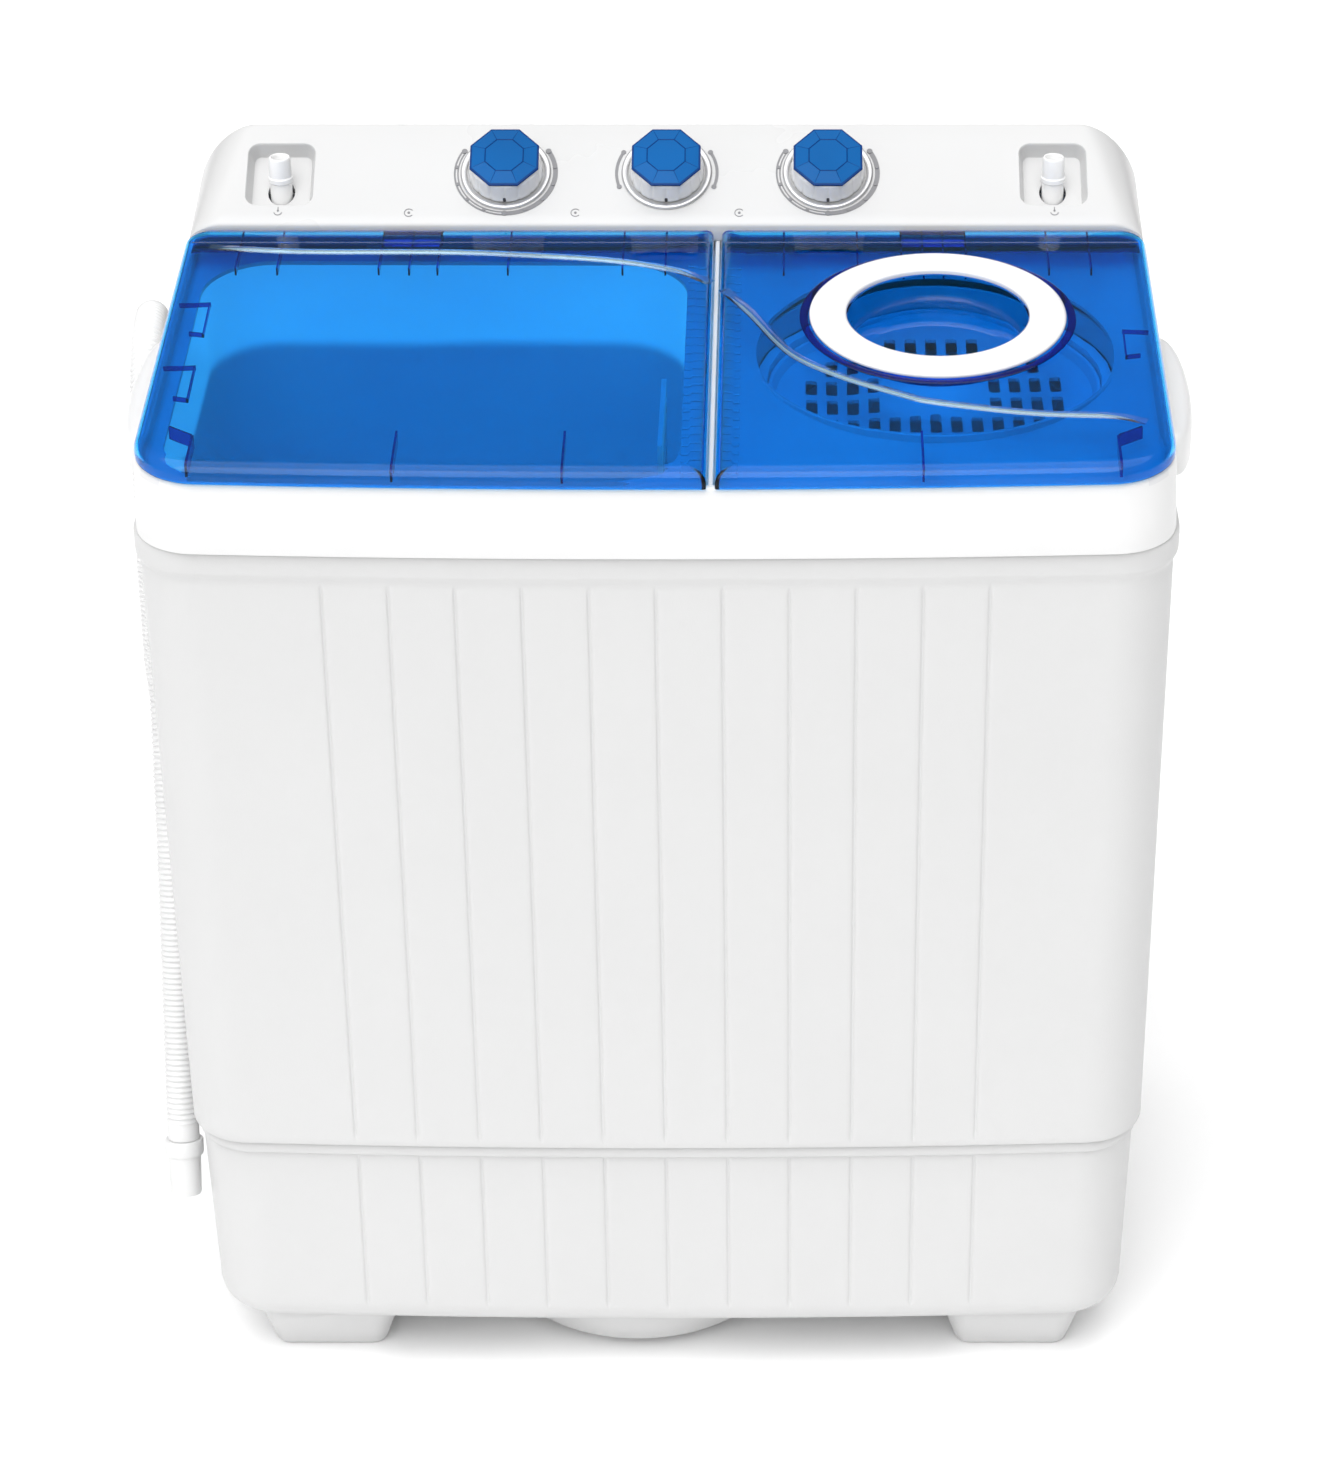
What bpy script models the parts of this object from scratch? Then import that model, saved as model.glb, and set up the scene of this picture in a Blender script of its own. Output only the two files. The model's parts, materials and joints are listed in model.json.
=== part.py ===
"""Twin tub washer: wash tub with pulsator on the left, spin basket on the right.

Metres, +Z up, front towards -Y, origin on the floor under the middle of the machine.
"""
import math

import bmesh
import bpy
from mathutils import Matrix, Vector

# ---------------------------------------------------------------- driving dimensions
GAP = 0.0003                    # air left between pieces that touch
WALL = 0.003                    # moulded wall of cabinet, base and frame
BOW = 0.009                     # how far the front swells forward over BOW_SPAN
BOW_SPAN = 0.350

FRONT_Y = -0.214                # front plane of the cabinet at its middle
BACK_Y = 0.2205                 # rear plane of the cabinet
BODY_HALF = 0.3555              # half width of the cabinet just under its lip
BODY_FOOT_HALF = 0.3527         # half width of the cabinet at its lower edge
LIP_OUT = 0.003                 # lip of the cabinet under the seam
BASE_HALF = 0.3475
BASE_FOOT_HALF = 0.3437
CORNER_FRONT = 0.046
CORNER_BACK = 0.026

FLOOR_Z = 0.040                 # underside of the base tray
STEP_Z = 0.2177                 # top of the base, where the cabinet begins
SEAM_Z = 0.7120                 # top of the cabinet, where the top frame begins
GROOVE_COUNT = 11
GROOVE_PITCH = 0.0455
GROOVE_WIDTH = 0.0036
GROOVE_DEPTH = 0.0012

TILT = math.radians(3.4)        # lids and deck fall towards the front
RIM_FRONT_Z = 0.7650            # top rim of the frame at the front
FRAME_HALF = 0.3535
FRAME_FRONT_Y = -0.220
FRAME_BACK_Y = 0.2215
DECK_DROP = 0.009               # deck below the rim

LID_FRONT_Y = -0.223
LID_HALF = 0.3525
LID_HEIGHT = 0.0135
LID_WALL = 0.0025
HINGE_Y = 0.1330
LID_SPLIT = 0.0382              # X of the rib between the two lids
LID_SPLIT_HALF = 0.0029

PANEL_FRONT_Y = 0.1400
PANEL_BACK_Y = 0.2215
PANEL_FRONT_Z = 0.7990
PANEL_SLOPE = math.radians(31.0)
PANEL_WALL = 0.0025
KNOB_PITCH = 0.1195
KNOB_Y = 0.1800
KNOB_RADIUS = 0.0275
CAP_RADIUS = 0.0276             # corner of the octagonal knob cap
INLET_X = 0.2868
INLET_Y = 0.1790

WASH_X = (-0.336, 0.017)        # wash tub mouth
WASH_Y = (-0.196, 0.121)
WASH_CENTRE = (-0.1595, -0.0375)
WASH_FLOOR_Z = 0.345
SPIN_CENTRE = (0.1942, -0.0140)
SPIN_NECK_Z = 0.748
SPIN_COVER_RADIUS = 0.1176
SPIN_BASKET_RADIUS = 0.1110
SPIN_FLOOR_Z = 0.330

BELT_Z = 0.2560
MOTOR_CENTRE = (-0.0250, -0.0650)
WASH_PULLEY_RADIUS = 0.0800
MOTOR_PULLEY_RADIUS = 0.0200    # one quarter of the wash pulley
BELT_HALF = 0.0045

HOSE_RADIUS = 0.0125


# ---------------------------------------------------------------- building blocks
def clear_scene():
    for old in list(bpy.data.objects):
        bpy.data.objects.remove(old, do_unlink=True)


def material(name, colour, roughness=0.4, metallic=0.0, alpha=1.0):
    mat = bpy.data.materials.new(name)
    mat.use_nodes = True
    shader = mat.node_tree.nodes["Principled BSDF"]
    shader.inputs["Base Color"].default_value = (*colour, 1.0)
    shader.inputs["Roughness"].default_value = roughness
    shader.inputs["Metallic"].default_value = metallic
    shader.inputs["Alpha"].default_value = alpha
    return mat


def add_object(name, bm, mat, location=(0, 0, 0), rotation=(0, 0, 0), parent=None, sharp=35):
    """Turn a bmesh into a named object with its faces pointing out."""
    bmesh.ops.recalc_face_normals(bm, faces=bm.faces)
    mesh = bpy.data.meshes.new(name)
    bm.to_mesh(mesh)
    bm.free()
    mesh.materials.append(mat)
    mesh.shade_smooth()
    mesh.set_sharp_from_angle(angle=math.radians(sharp))
    obj = bpy.data.objects.new(name, mesh)
    bpy.context.scene.collection.objects.link(obj)
    obj.location = location
    obj.rotation_euler = rotation
    obj.parent = parent
    return obj


def empty(name, location, rotation=(0, 0, 0)):
    obj = bpy.data.objects.new(name, None)
    bpy.context.scene.collection.objects.link(obj)
    obj.location = location
    obj.rotation_euler = rotation
    return obj


def boolean(obj, other, operation="DIFFERENCE"):
    """Cut or join with another object, which is then only a guide."""
    mod = obj.modifiers.new(operation.title(), "BOOLEAN")
    mod.operation = operation
    mod.solver = "EXACT"
    mod.object = other
    other.hide_render = True
    other.display_type = "WIRE"


def corner_arc(centre, radius, start, steps):
    """Points on a quarter circle, anticlockwise from the start angle in degrees."""
    angles = [math.radians(start + 90 * i / steps) for i in range(steps + 1)]
    return [(centre[0] + radius * math.cos(a), centre[1] + radius * math.sin(a)) for a in angles]


def swell(x):
    """How far the bowed front lies behind its middle at x."""
    return BOW * (x / BOW_SPAN) ** 2


def outline(x0, x1, y0, y1, radii, inset=0.0, bowed=False, grooves=0.0, steps=5):
    """Rounded rectangle, anticlockwise from the front left corner.

    radii are front left, front right, back right and back left. A bowed front follows
    swell, and grooves gives it notches of that depth at each groove.
    """
    x0, x1, y0, y1 = x0 + inset, x1 - inset, y0 + inset, y1 - inset
    fl, fr, br, bl = [max(r - inset, 0.0015) for r in radii]
    front_left = corner_arc((x0 + fl, y0 + fl), fl, 180, steps)
    front_right = corner_arc((x1 - fr, y0 + fr), fr, 270, steps)
    if bowed:
        front_left = [(x, y + swell(x0 + fl)) for x, y in front_left]
        front_right = [(x, y + swell(x1 - fr)) for x, y in front_right]
    middle = []
    if bowed:
        for x, notch in front_marks(x0 + fl, x1 - fr, grooves):
            middle.append((x, y0 + swell(x) + notch))
    points = front_left + middle + front_right
    points += corner_arc((x1 - br, y1 - br), br, 0, steps)
    points += corner_arc((x0 + bl, y1 - bl), bl, 90, steps)
    return points


def front_marks(x_start, x_end, grooves):
    """X places along a bowed front, with how deep each one is cut."""
    if grooves == 0.0:
        return [(x_start + (x_end - x_start) * i / 8, 0.0) for i in range(1, 8)]
    marks = []
    for k in range(GROOVE_COUNT):
        x = (k - (GROOVE_COUNT - 1) / 2) * GROOVE_PITCH
        depth = max(grooves, 0.0)
        marks += [(x - GROOVE_WIDTH / 2, 0.0), (x, depth), (x + GROOVE_WIDTH / 2, 0.0)]
    return marks


NO_GROOVE = -1.0                # keeps the groove's points but leaves them flush


def level(points, z):
    """Lift an outline to a height, a number or a function of y."""
    return [Vector((x, y, z(y) if callable(z) else z)) for x, y in points]


def loft(loops, ring=False):
    """Skin loops of equal length; a ring joins the last to the first, else both are capped."""
    bm = bmesh.new()
    rows = [[bm.verts.new(p) for p in loop] for loop in loops]
    pairs = list(zip(rows, rows[1:]))
    if ring:
        pairs.append((rows[-1], rows[0]))
    for a, b in pairs:
        for i in range(len(a)):
            j = (i + 1) % len(a)
            bm.faces.new((a[i], a[j], b[j], b[i]))
    if not ring:
        bm.faces.new(rows[0])
        bm.faces.new(rows[-1])
    return bm


def turned(profile, steps=32, centre=(0.0, 0.0)):
    """Solid of revolution about a vertical axis from (radius, height) points.

    A profile that starts and ends on the axis is a solid one; any other is closed into a ring.
    """
    bm = bmesh.new()
    rows = []
    for radius, height in profile:
        if radius == 0:
            rows.append([bm.verts.new((centre[0], centre[1], height))] * steps)
            continue
        row = []
        for i in range(steps):
            a = 2 * math.pi * i / steps
            x, y = centre[0] + radius * math.cos(a), centre[1] + radius * math.sin(a)
            row.append(bm.verts.new((x, y, height)))
        rows.append(row)
    pairs = list(zip(rows, rows[1:]))
    if profile[0][0] != 0:
        pairs.append((rows[-1], rows[0]))
    for a, b in pairs:
        for i in range(steps):
            j = (i + 1) % steps
            corners = []
            for v in (a[i], a[j], b[j], b[i]):
                if v not in corners:
                    corners.append(v)
            bm.faces.new(corners)
    return bm


def cylinder(radius, z0, z1, steps=24, centre=(0.0, 0.0)):
    return turned([(0, z0), (radius, z0), (radius, z1), (0, z1)], steps, centre)


def tube(outer, inner, z0, z1, steps=24, centre=(0.0, 0.0)):
    return turned([(outer, z0), (outer, z1), (inner, z1), (inner, z0)], steps, centre)


def block(low, high, bevel=0.0):
    """Box between two corners, with its edges rounded off when a bevel is given."""
    bm = bmesh.new()
    bmesh.ops.create_cube(bm, size=1.0)
    size = Vector(high) - Vector(low)
    middle = (Vector(high) + Vector(low)) / 2
    bmesh.ops.scale(bm, vec=size, verts=bm.verts)
    bmesh.ops.translate(bm, vec=middle, verts=bm.verts)
    if bevel:
        bmesh.ops.bevel(bm, geom=bm.edges[:], offset=bevel, segments=2, affect="EDGES", profile=0.5)
    return bm


def join(*parts):
    """Put several bmeshes into one; they touch nowhere or are joined later by a Boolean."""
    whole = bmesh.new()
    for bm in parts:
        mesh = bpy.data.meshes.new("part")
        bm.to_mesh(mesh)
        bm.free()
        whole.from_mesh(mesh)
        bpy.data.meshes.remove(mesh)
    return whole


def tilted(offset=0.0):
    """Height of the plane of the frame's rim at y, plus an offset."""
    return lambda y: RIM_FRONT_Z + (y - FRAME_FRONT_Y) * math.tan(TILT) + offset


# ---------------------------------------------------------------- materials
WHITE = material("white_plastic", (0.86, 0.86, 0.86), 0.42)
OFF_WHITE = material("inner_white_plastic", (0.80, 0.82, 0.84), 0.45)
BLUE = material("blue_clear_plastic", (0.01, 0.20, 0.75), 0.12, 0.0, 0.55)
CAP_BLUE = material("knob_cap_plastic", (0.0, 0.17, 0.50), 0.15)
RING_WHITE = material("ring_white_plastic", (0.95, 0.95, 0.94), 0.25)
SILVER = material("silver_trim", (0.62, 0.63, 0.64), 0.28, 0.8)
STEEL = material("steel", (0.55, 0.56, 0.58), 0.35, 1.0)
PAINTED = material("painted_motor_steel", (0.12, 0.13, 0.15), 0.5, 0.4)
GALVANISED = material("galvanised_sheet", (0.60, 0.62, 0.63), 0.42, 0.9)
RUBBER = material("black_rubber", (0.03, 0.03, 0.03), 0.75)
GREY = material("grey_plastic", (0.35, 0.36, 0.38), 0.5)
DARK = material("dark_plastic", (0.05, 0.05, 0.06), 0.5)
HOSE_WHITE = material("hose_plastic", (0.88, 0.88, 0.88), 0.5)


# ---------------------------------------------------------------- casing
def make_cabinet():
    """Upper body: a bowed, grooved sleeve open at the top and bottom, with a rear window."""

    def loop(half, z, inset=0.0, out=0.0, grooves=NO_GROOVE):
        radii = (CORNER_FRONT, CORNER_FRONT, CORNER_BACK, CORNER_BACK)
        pts = outline(-half - out, half + out, FRONT_Y - out, BACK_Y + out * 0.5, radii, inset, True, grooves, 4)
        return level(pts, z)

    low, high = BODY_FOOT_HALF, BODY_HALF
    loops = [
        loop(low, STEP_Z + GAP, WALL),
        loop(low, STEP_Z + GAP, 0.0005),
        loop(low, STEP_Z + 0.0040, 0, 0, GROOVE_DEPTH),
        loop(high, 0.6870, 0, 0, GROOVE_DEPTH),
        loop(high, 0.6930, 0, LIP_OUT, GROOVE_DEPTH),
        loop(high, 0.7050, 0, LIP_OUT, GROOVE_DEPTH),
        loop(high, 0.7060, 0, LIP_OUT),
        loop(high, SEAM_Z, 0.0005, LIP_OUT),
        loop(high, SEAM_Z, WALL + 0.001, LIP_OUT),
        loop(high, 0.6870, WALL + 0.001),
    ]
    cabinet = add_object("cabinet", loft(loops, ring=True), WHITE)
    window = block((-0.285, BACK_Y - 0.02, 0.262), (0.285, BACK_Y + 0.02, 0.650))
    boolean(cabinet, add_object("cabinet_window_cutter", window, WHITE))


def make_base():
    """Tray with its rim, four moulded feet and the round well under the belt drive."""

    def loop(half, z, inset=0.0, back=0.009, grooves=NO_GROOVE):
        radii = (CORNER_FRONT, CORNER_FRONT, CORNER_BACK, CORNER_BACK)
        pts = outline(-half, half, FRONT_Y + back, BACK_Y - 0.003, radii, inset, True, grooves, 4)
        return level(pts, z)

    half = BASE_FOOT_HALF
    rim = BASE_HALF + 0.002
    loops = [
        loop(half, FLOOR_Z + WALL, 0.022),
        loop(half, FLOOR_Z + 0.010, WALL + 0.003),
        loop(rim, STEP_Z, WALL + 0.002, 0.005),
        loop(rim, STEP_Z, 0.0, 0.005),
        loop(rim, 0.2060, 0.0, 0.005),
        loop(BASE_HALF, 0.2040),
        loop(BASE_HALF, 0.2030, 0.0, 0.009, GROOVE_DEPTH),
        loop(half, 0.0640, 0.0, 0.009, GROOVE_DEPTH),
        loop(half, 0.0560, 0.0022),
        loop(half, 0.0470, 0.0090),
        loop(half, FLOOR_Z, 0.0220),
    ]
    base = add_object("base", loft(loops), WHITE)
    feet = join(*[foot(sx, sy) for sx in (-1, 1) for sy in (-1, 1)])
    boolean(base, add_object("feet_guide", feet, WHITE), "UNION")
    well = turned([(0, 0.008), (0.106, 0.008), (0.113, 0.012), (0.121, 0.048), (0, 0.048)], 28, WELL_CENTRE)
    boolean(base, add_object("well_guide", well, WHITE), "UNION")
    hollow = turned([(0, 0.0112), (0.104, 0.0112), (0.1105, 0.015), (0.1175, 0.052), (0, 0.052)], 28, WELL_CENTRE)
    boolean(base, add_object("well_cutter", hollow, WHITE))


WELL_CENTRE = (-0.025, -0.065)


def foot(side, end):
    """A tapered foot with rounded corners; side is -1 for left, end is -1 for front."""
    x_in, x_out = 0.2060, 0.3170
    y_mid = end * 0.140 + (0.003 if end < 0 else -0.003)
    sections = []
    for z, shrink in ((0.0, 0.0150), (0.004, 0.0110), (FLOOR_Z + 0.002, 0.0)):
        low, high = sorted((side * x_in, side * x_out))
        pts = outline(low, high, y_mid - 0.045, y_mid + 0.045, (0.02,) * 4, shrink, steps=2)
        sections.append(level(pts, z))
    return loft(sections)


def make_top_frame():
    """Collar and deck in one moulding: lids rest on its rim, both tubs hang under its deck."""

    def loop(inset, z, out=0.0):
        radii = (CORNER_FRONT, CORNER_FRONT, CORNER_BACK, CORNER_BACK)
        front = FRAME_FRONT_Y - out
        pts = outline(-FRAME_HALF - out, FRAME_HALF + out, front, FRAME_BACK_Y, radii, inset, True)
        return level(pts, z)

    bottom = SEAM_Z + GAP
    loops = [
        loop(WALL, tilted(-DECK_DROP - WALL)),
        loop(WALL, bottom, 0.002),
        loop(0, bottom, 0.002),
        loop(0, bottom + 0.020, 0.0012),
        loop(0, tilted(-0.004)),
        loop(0.0015, tilted()),
        loop(0.0055, tilted()),
        loop(0.0065, tilted(-DECK_DROP)),
    ]
    frame = add_object("top_frame", loft(loops), WHITE)
    skirt = tube(0.1290, 0.1262, SPIN_NECK_Z + GAP, 0.7660, 40, SPIN_CENTRE)
    boolean(frame, add_object("spin_skirt_guide", skirt, WHITE), "UNION")
    mouth = outline(*WASH_X, *WASH_Y, (0.050,) * 4, steps=6)
    boolean(frame, add_object("wash_mouth_cutter", loft([level(mouth, 0.70), level(mouth, 0.80)]), WHITE))
    well = cylinder(0.1262, 0.70, 0.80, 40, SPIN_CENTRE)
    boolean(frame, add_object("spin_mouth_cutter", well, WHITE))
    rear = block((-0.220, 0.150, 0.74), (0.220, 0.212, 0.81))
    boolean(frame, add_object("wiring_cutter", rear, WHITE))
    for side in (-1, 1):
        pipe = cylinder(0.0100, 0.74, 0.82, 20, (side * INLET_X, INLET_Y))
        boolean(frame, add_object(f"pipe_cutter_{side}", pipe, WHITE))


def make_side_handle(name, side):
    """Cup grip on the collar: curved in plan, closed above and open below for the fingers."""
    x_wall = FRAME_HALF + 0.0024
    y_mid = -0.040

    def loop(reach, length, z, back=0.0):
        pts = []
        for i in range(15):
            a = math.pi * i / 14
            out = x_wall + back + (reach - back) * math.sin(a)
            pts.append(Vector((side * out, y_mid - length * math.cos(a), z)))
        return pts

    loops = [
        loop(0.0130, 0.0700, 0.7510, 0.0020),
        loop(0.0155, 0.0770, 0.7260, 0.0020),
        loop(0.0180, 0.0850, 0.7260),
        loop(0.0180, 0.0850, 0.7480),
        loop(0.0160, 0.0820, 0.7535),
        loop(0.0100, 0.0750, 0.7555),
    ]
    add_object(name, loft(loops), WHITE)


def panel_height(y):
    return PANEL_FRONT_Z + (y - PANEL_FRONT_Y + 0.001) * math.tan(PANEL_SLOPE)


def panel_section(y, inset=0.0, drop=0.0, floor=None):
    """Cross-section of the control housing at y: flat face with a rounded cheek at each end."""
    t = (y - PANEL_FRONT_Y) / (PANEL_BACK_Y - PANEL_FRONT_Y)
    top = panel_height(y) - drop - inset
    edge = 0.330 - 0.022 * t
    side = 0.3525 - inset
    cheek_z = 0.787 + 0.008 * t
    bottom = floor if floor is not None else tilted(GAP)(y)
    right = []
    for i in range(7):
        a = math.pi / 2 * i / 6
        rise = math.sin(a) ** 1.15
        run = math.cos(a) ** 1.15
        right.append((edge - inset + (side - edge + inset) * run, cheek_z + (top - cheek_z) * rise))
    right.insert(0, (side, bottom))
    left = [(-x, z) for x, z in reversed(right)]
    return [Vector((x, y, z)) for x, z in right + left]


def make_control_panel():
    """Sloping housing behind the lids, hollow below, with two inlet pockets and three shaft holes."""
    rounded = [(PANEL_FRONT_Y, 0.0012), (PANEL_FRONT_Y + 0.0015, 0.0), (0.165, 0.0), (0.190, 0.0)]
    rounded += [(PANEL_BACK_Y - 0.004, 0.0), (PANEL_BACK_Y - 0.0012, 0.0022), (PANEL_BACK_Y, 0.0050)]
    outer = loft([panel_section(y, 0.0, drop) for y, drop in rounded])
    panel = add_object("control_panel", outer, WHITE)
    inner_ys = (PANEL_FRONT_Y + PANEL_WALL, 0.165, 0.190, PANEL_BACK_Y - PANEL_WALL - 0.001)
    inner = loft([panel_section(y, PANEL_WALL, 0.0, 0.74) for y in inner_ys])
    boolean(panel, add_object("panel_cavity_cutter", inner, WHITE))
    for side in (-1, 1):
        holder = empty(f"pocket_frame_{side}", (side * INLET_X, INLET_Y, panel_height(INLET_Y)), (PANEL_SLOPE, 0, 0))
        shell = loft([
            level(outline(-0.0275, 0.0275, -0.0305, 0.0305, (0.010,) * 4, steps=3), z) for z in (-0.0150, -0.0010)
        ])
        boolean(panel, add_object(f"pocket_guide_{side}", shell, WHITE, parent=holder), "UNION")
        loops = []
        for inset, z in ((0.0035, -0.0128), (0.0005, 0.0), (0.0005, 0.02)):
            pts = outline(-0.0255, 0.0255, -0.0285, 0.0285, (0.009,) * 4, inset, steps=3)
            loops.append(level(pts, z))
        boolean(panel, add_object(f"pocket_cutter_{side}", loft(loops), WHITE, parent=holder))
        hole = cylinder(0.0100, -0.06, 0.06, 20)
        hole_at = (side * INLET_X, INLET_Y, panel_height(INLET_Y))
        boolean(panel, add_object(f"spout_cutter_{side}", hole, WHITE, hole_at))
    for k in (-1, 0, 1):
        hole = cylinder(0.0045, -0.03, 0.03, 16)
        boolean(panel, add_object(f"shaft_cutter_{k}", hole, WHITE, parent=knob_frame(k)))


def knob_frame(k):
    """Empty on a knob's axis: its Z leaves the sloping panel at right angles."""
    name = f"knob_frame_{k}"
    if name in bpy.data.objects:
        return bpy.data.objects[name]
    return empty(name, (k * KNOB_PITCH, KNOB_Y, panel_height(KNOB_Y)), (PANEL_SLOPE, 0, 0))


def make_knob(k, label, switch_name):
    """Trim ring, knob with its spindle, faceted cap and the timer or switch behind the panel."""
    holder = knob_frame(k)
    add_object(f"{label}_trim_ring", tube(0.0335, 0.0290, GAP, 0.0026, 28), SILVER, parent=holder)
    r = KNOB_RADIUS
    profile = [
        (0, -0.0120), (0.0030, -0.0120), (0.0030, 0.0010), (r + 0.0005, 0.0010),
        (r - 0.0012, 0.0165), (r - 0.0030, 0.0180), (0, 0.0180),
    ]
    add_object(f"{label}_knob", turned(profile, 24), WHITE, parent=holder)
    c = CAP_RADIUS
    cap = turned([(0, 0.0183), (c, 0.0183), (c, 0.0200), (c * 0.80, 0.0226), (0, 0.0226)], 8)
    bmesh.ops.rotate(cap, matrix=Matrix.Rotation(math.pi / 8, 3, "Z"), verts=cap.verts)
    add_object(f"{label}_knob_cap", cap, CAP_BLUE, parent=holder, sharp=20)
    case = turned([(0, -0.0360), (0.0220, -0.0360), (0.0220, -0.0123), (0, -0.0123)], 16)
    add_object(switch_name, case, GREY, parent=holder)


def make_inlet_spout(name, side):
    """Upright water inlet: a short pipe that rises out of its pocket and runs down to the deck."""
    top = panel_height(INLET_Y) + 0.0140
    bottom = tilted()(INLET_Y) - 0.020
    flange = panel_height(INLET_Y) - 0.0020
    profile = [
        (0.0082, bottom), (0.0082, flange - 0.004), (0.0092, flange - 0.003), (0.0092, flange),
        (0.0084, flange + 0.001), (0.0080, top - 0.001), (0.0074, top), (0.0060, top), (0.0060, bottom),
    ]
    add_object(name, turned(profile, 16, (side * INLET_X, INLET_Y)), WHITE)


# ---------------------------------------------------------------- lids
def lid_outline(x0, x1, inset, radii):
    """Plan of a lid in its own frame, whose origin is on the hinge line."""
    front = (LID_FRONT_Y - HINGE_Y) / math.cos(TILT)
    rear = 0.0040
    return outline(x0, x1, front, rear, radii, inset, True, 0.0, 6)


def lid_axis_z():
    return tilted(LID_HEIGHT + GAP)(HINGE_Y) - 0.0050


def make_lid(name, x0, x1, radii):
    """Clear lid with a rounded skirt, hollow below, in the frame of its hinge."""
    holder = empty(f"{name}_hinge", (0, HINGE_Y, lid_axis_z()), (TILT, 0, 0))
    top = 0.0050

    def loop(inset, z):
        return level(lid_outline(x0, x1, inset, radii), z)

    loops = [
        loop(0.0080, top - LID_WALL - 0.0012),
        loop(LID_WALL + 0.0010, top - 0.0065),
        loop(LID_WALL, top - LID_HEIGHT),
        loop(0.0, top - LID_HEIGHT),
        loop(0.0, top - 0.0075),
        loop(0.0012, top - 0.0042),
        loop(0.0042, top - 0.0014),
        loop(0.0080, top - 0.0004),
        loop(0.0160, top),
    ]
    return add_object(name, loft(loops), BLUE, parent=holder), holder


def make_lids():
    split_left = LID_SPLIT - LID_SPLIT_HALF
    split_right = LID_SPLIT + LID_SPLIT_HALF
    make_lid("wash_lid", -LID_HALF, split_left, (0.048, 0.0015, 0.0015, 0.020))
    lid, holder = make_lid("spin_lid", split_right, LID_HALF, (0.0015, 0.048, 0.020, 0.0015))
    centre = (SPIN_RING_CENTRE[0], (SPIN_RING_CENTRE[1] - HINGE_Y) / math.cos(TILT))
    hole = cylinder(0.0760, -0.05, 0.05, 32, centre)
    boolean(lid, add_object("lid_port_cutter", hole, BLUE, parent=holder))
    ring = turned([
        (0.0650, 0.0055), (0.0905, 0.0055), (0.0912, 0.0080), (0.0880, 0.0110),
        (0.0760, 0.0122), (0.0670, 0.0110), (0.0645, 0.0085),
    ], 36, centre)
    add_object("spin_lid_ring", ring, RING_WHITE, parent=holder)
    cup = turned([
        (0, -0.0160), (0.0640, -0.0160), (0.0690, -0.0120), (0.0740, 0.0052), (0.0640, 0.0052),
        (0.0620, -0.0110), (0.0580, -0.0135), (0, -0.0135),
    ], 32, centre)
    add_object("spin_lid_window", cup, BLUE, parent=holder)


SPIN_RING_CENTRE = (0.1960, -0.0055)


# ---------------------------------------------------------------- wash side
def make_wash_tub():
    """Rectangular tub with rounded corners that hangs by its flange under the deck."""
    under_deck = tilted(-DECK_DROP - WALL - GAP)

    def loop(inset, z, corner=0.050):
        return level(outline(*WASH_X, *WASH_Y, (corner,) * 4, inset, steps=6), z)

    floor = WASH_FLOOR_Z
    loops = [
        loop(0.0450, floor, 0.110),
        loop(0.0230, floor + 0.010, 0.090),
        loop(0.0160, floor + 0.040, 0.074),
        loop(0.0, under_deck, 0.050),
        loop(-0.0100, under_deck, 0.050),
        loop(-0.0100, tilted(-DECK_DROP - WALL - GAP - 0.003), 0.050),
        loop(-0.0030, tilted(-DECK_DROP - WALL - GAP - 0.003), 0.050),
        loop(0.0130, floor + 0.040, 0.074),
        loop(0.0200, floor + 0.008, 0.090),
        loop(0.0430, floor - 0.003, 0.110),
    ]
    tub = add_object("wash_tub", loft(loops), OFF_WHITE)
    hole = cylinder(0.0120, floor - 0.02, floor + 0.02, 20, WASH_CENTRE)
    boolean(tub, add_object("tub_shaft_cutter", hole, OFF_WHITE))
    drain = cylinder(0.0140, floor - 0.02, floor + 0.02, 20, DRAIN_CENTRE)
    boolean(tub, add_object("tub_drain_cutter", drain, OFF_WHITE))


DRAIN_CENTRE = (-0.262, 0.052)


def make_pulsator():
    """Dished disc with a raised hub and six curved vanes."""
    z = WASH_FLOOR_Z + 0.0150
    disc = turned([
        (0, z - 0.006), (0.112, z - 0.008), (0.118, z - 0.003), (0.116, z), (0.060, z + 0.006),
        (0.030, z + 0.014), (0.016, z + 0.022), (0, z + 0.024),
    ], 32, WASH_CENTRE)
    pulsator = add_object("pulsator", disc, OFF_WHITE)
    vanes = []
    for k in range(6):
        vane = block((0.022, -0.006, z - 0.002), (0.108, 0.006, z + 0.017))
        turn = Matrix.Rotation(2 * math.pi * k / 6, 4, "Z")
        place = Matrix.Translation((*WASH_CENTRE, 0))
        bmesh.ops.transform(vane, matrix=place @ turn, verts=vane.verts)
        vanes.append(vane)
    boolean(pulsator, add_object("vane_guide", join(*vanes), OFF_WHITE), "UNION")


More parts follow.
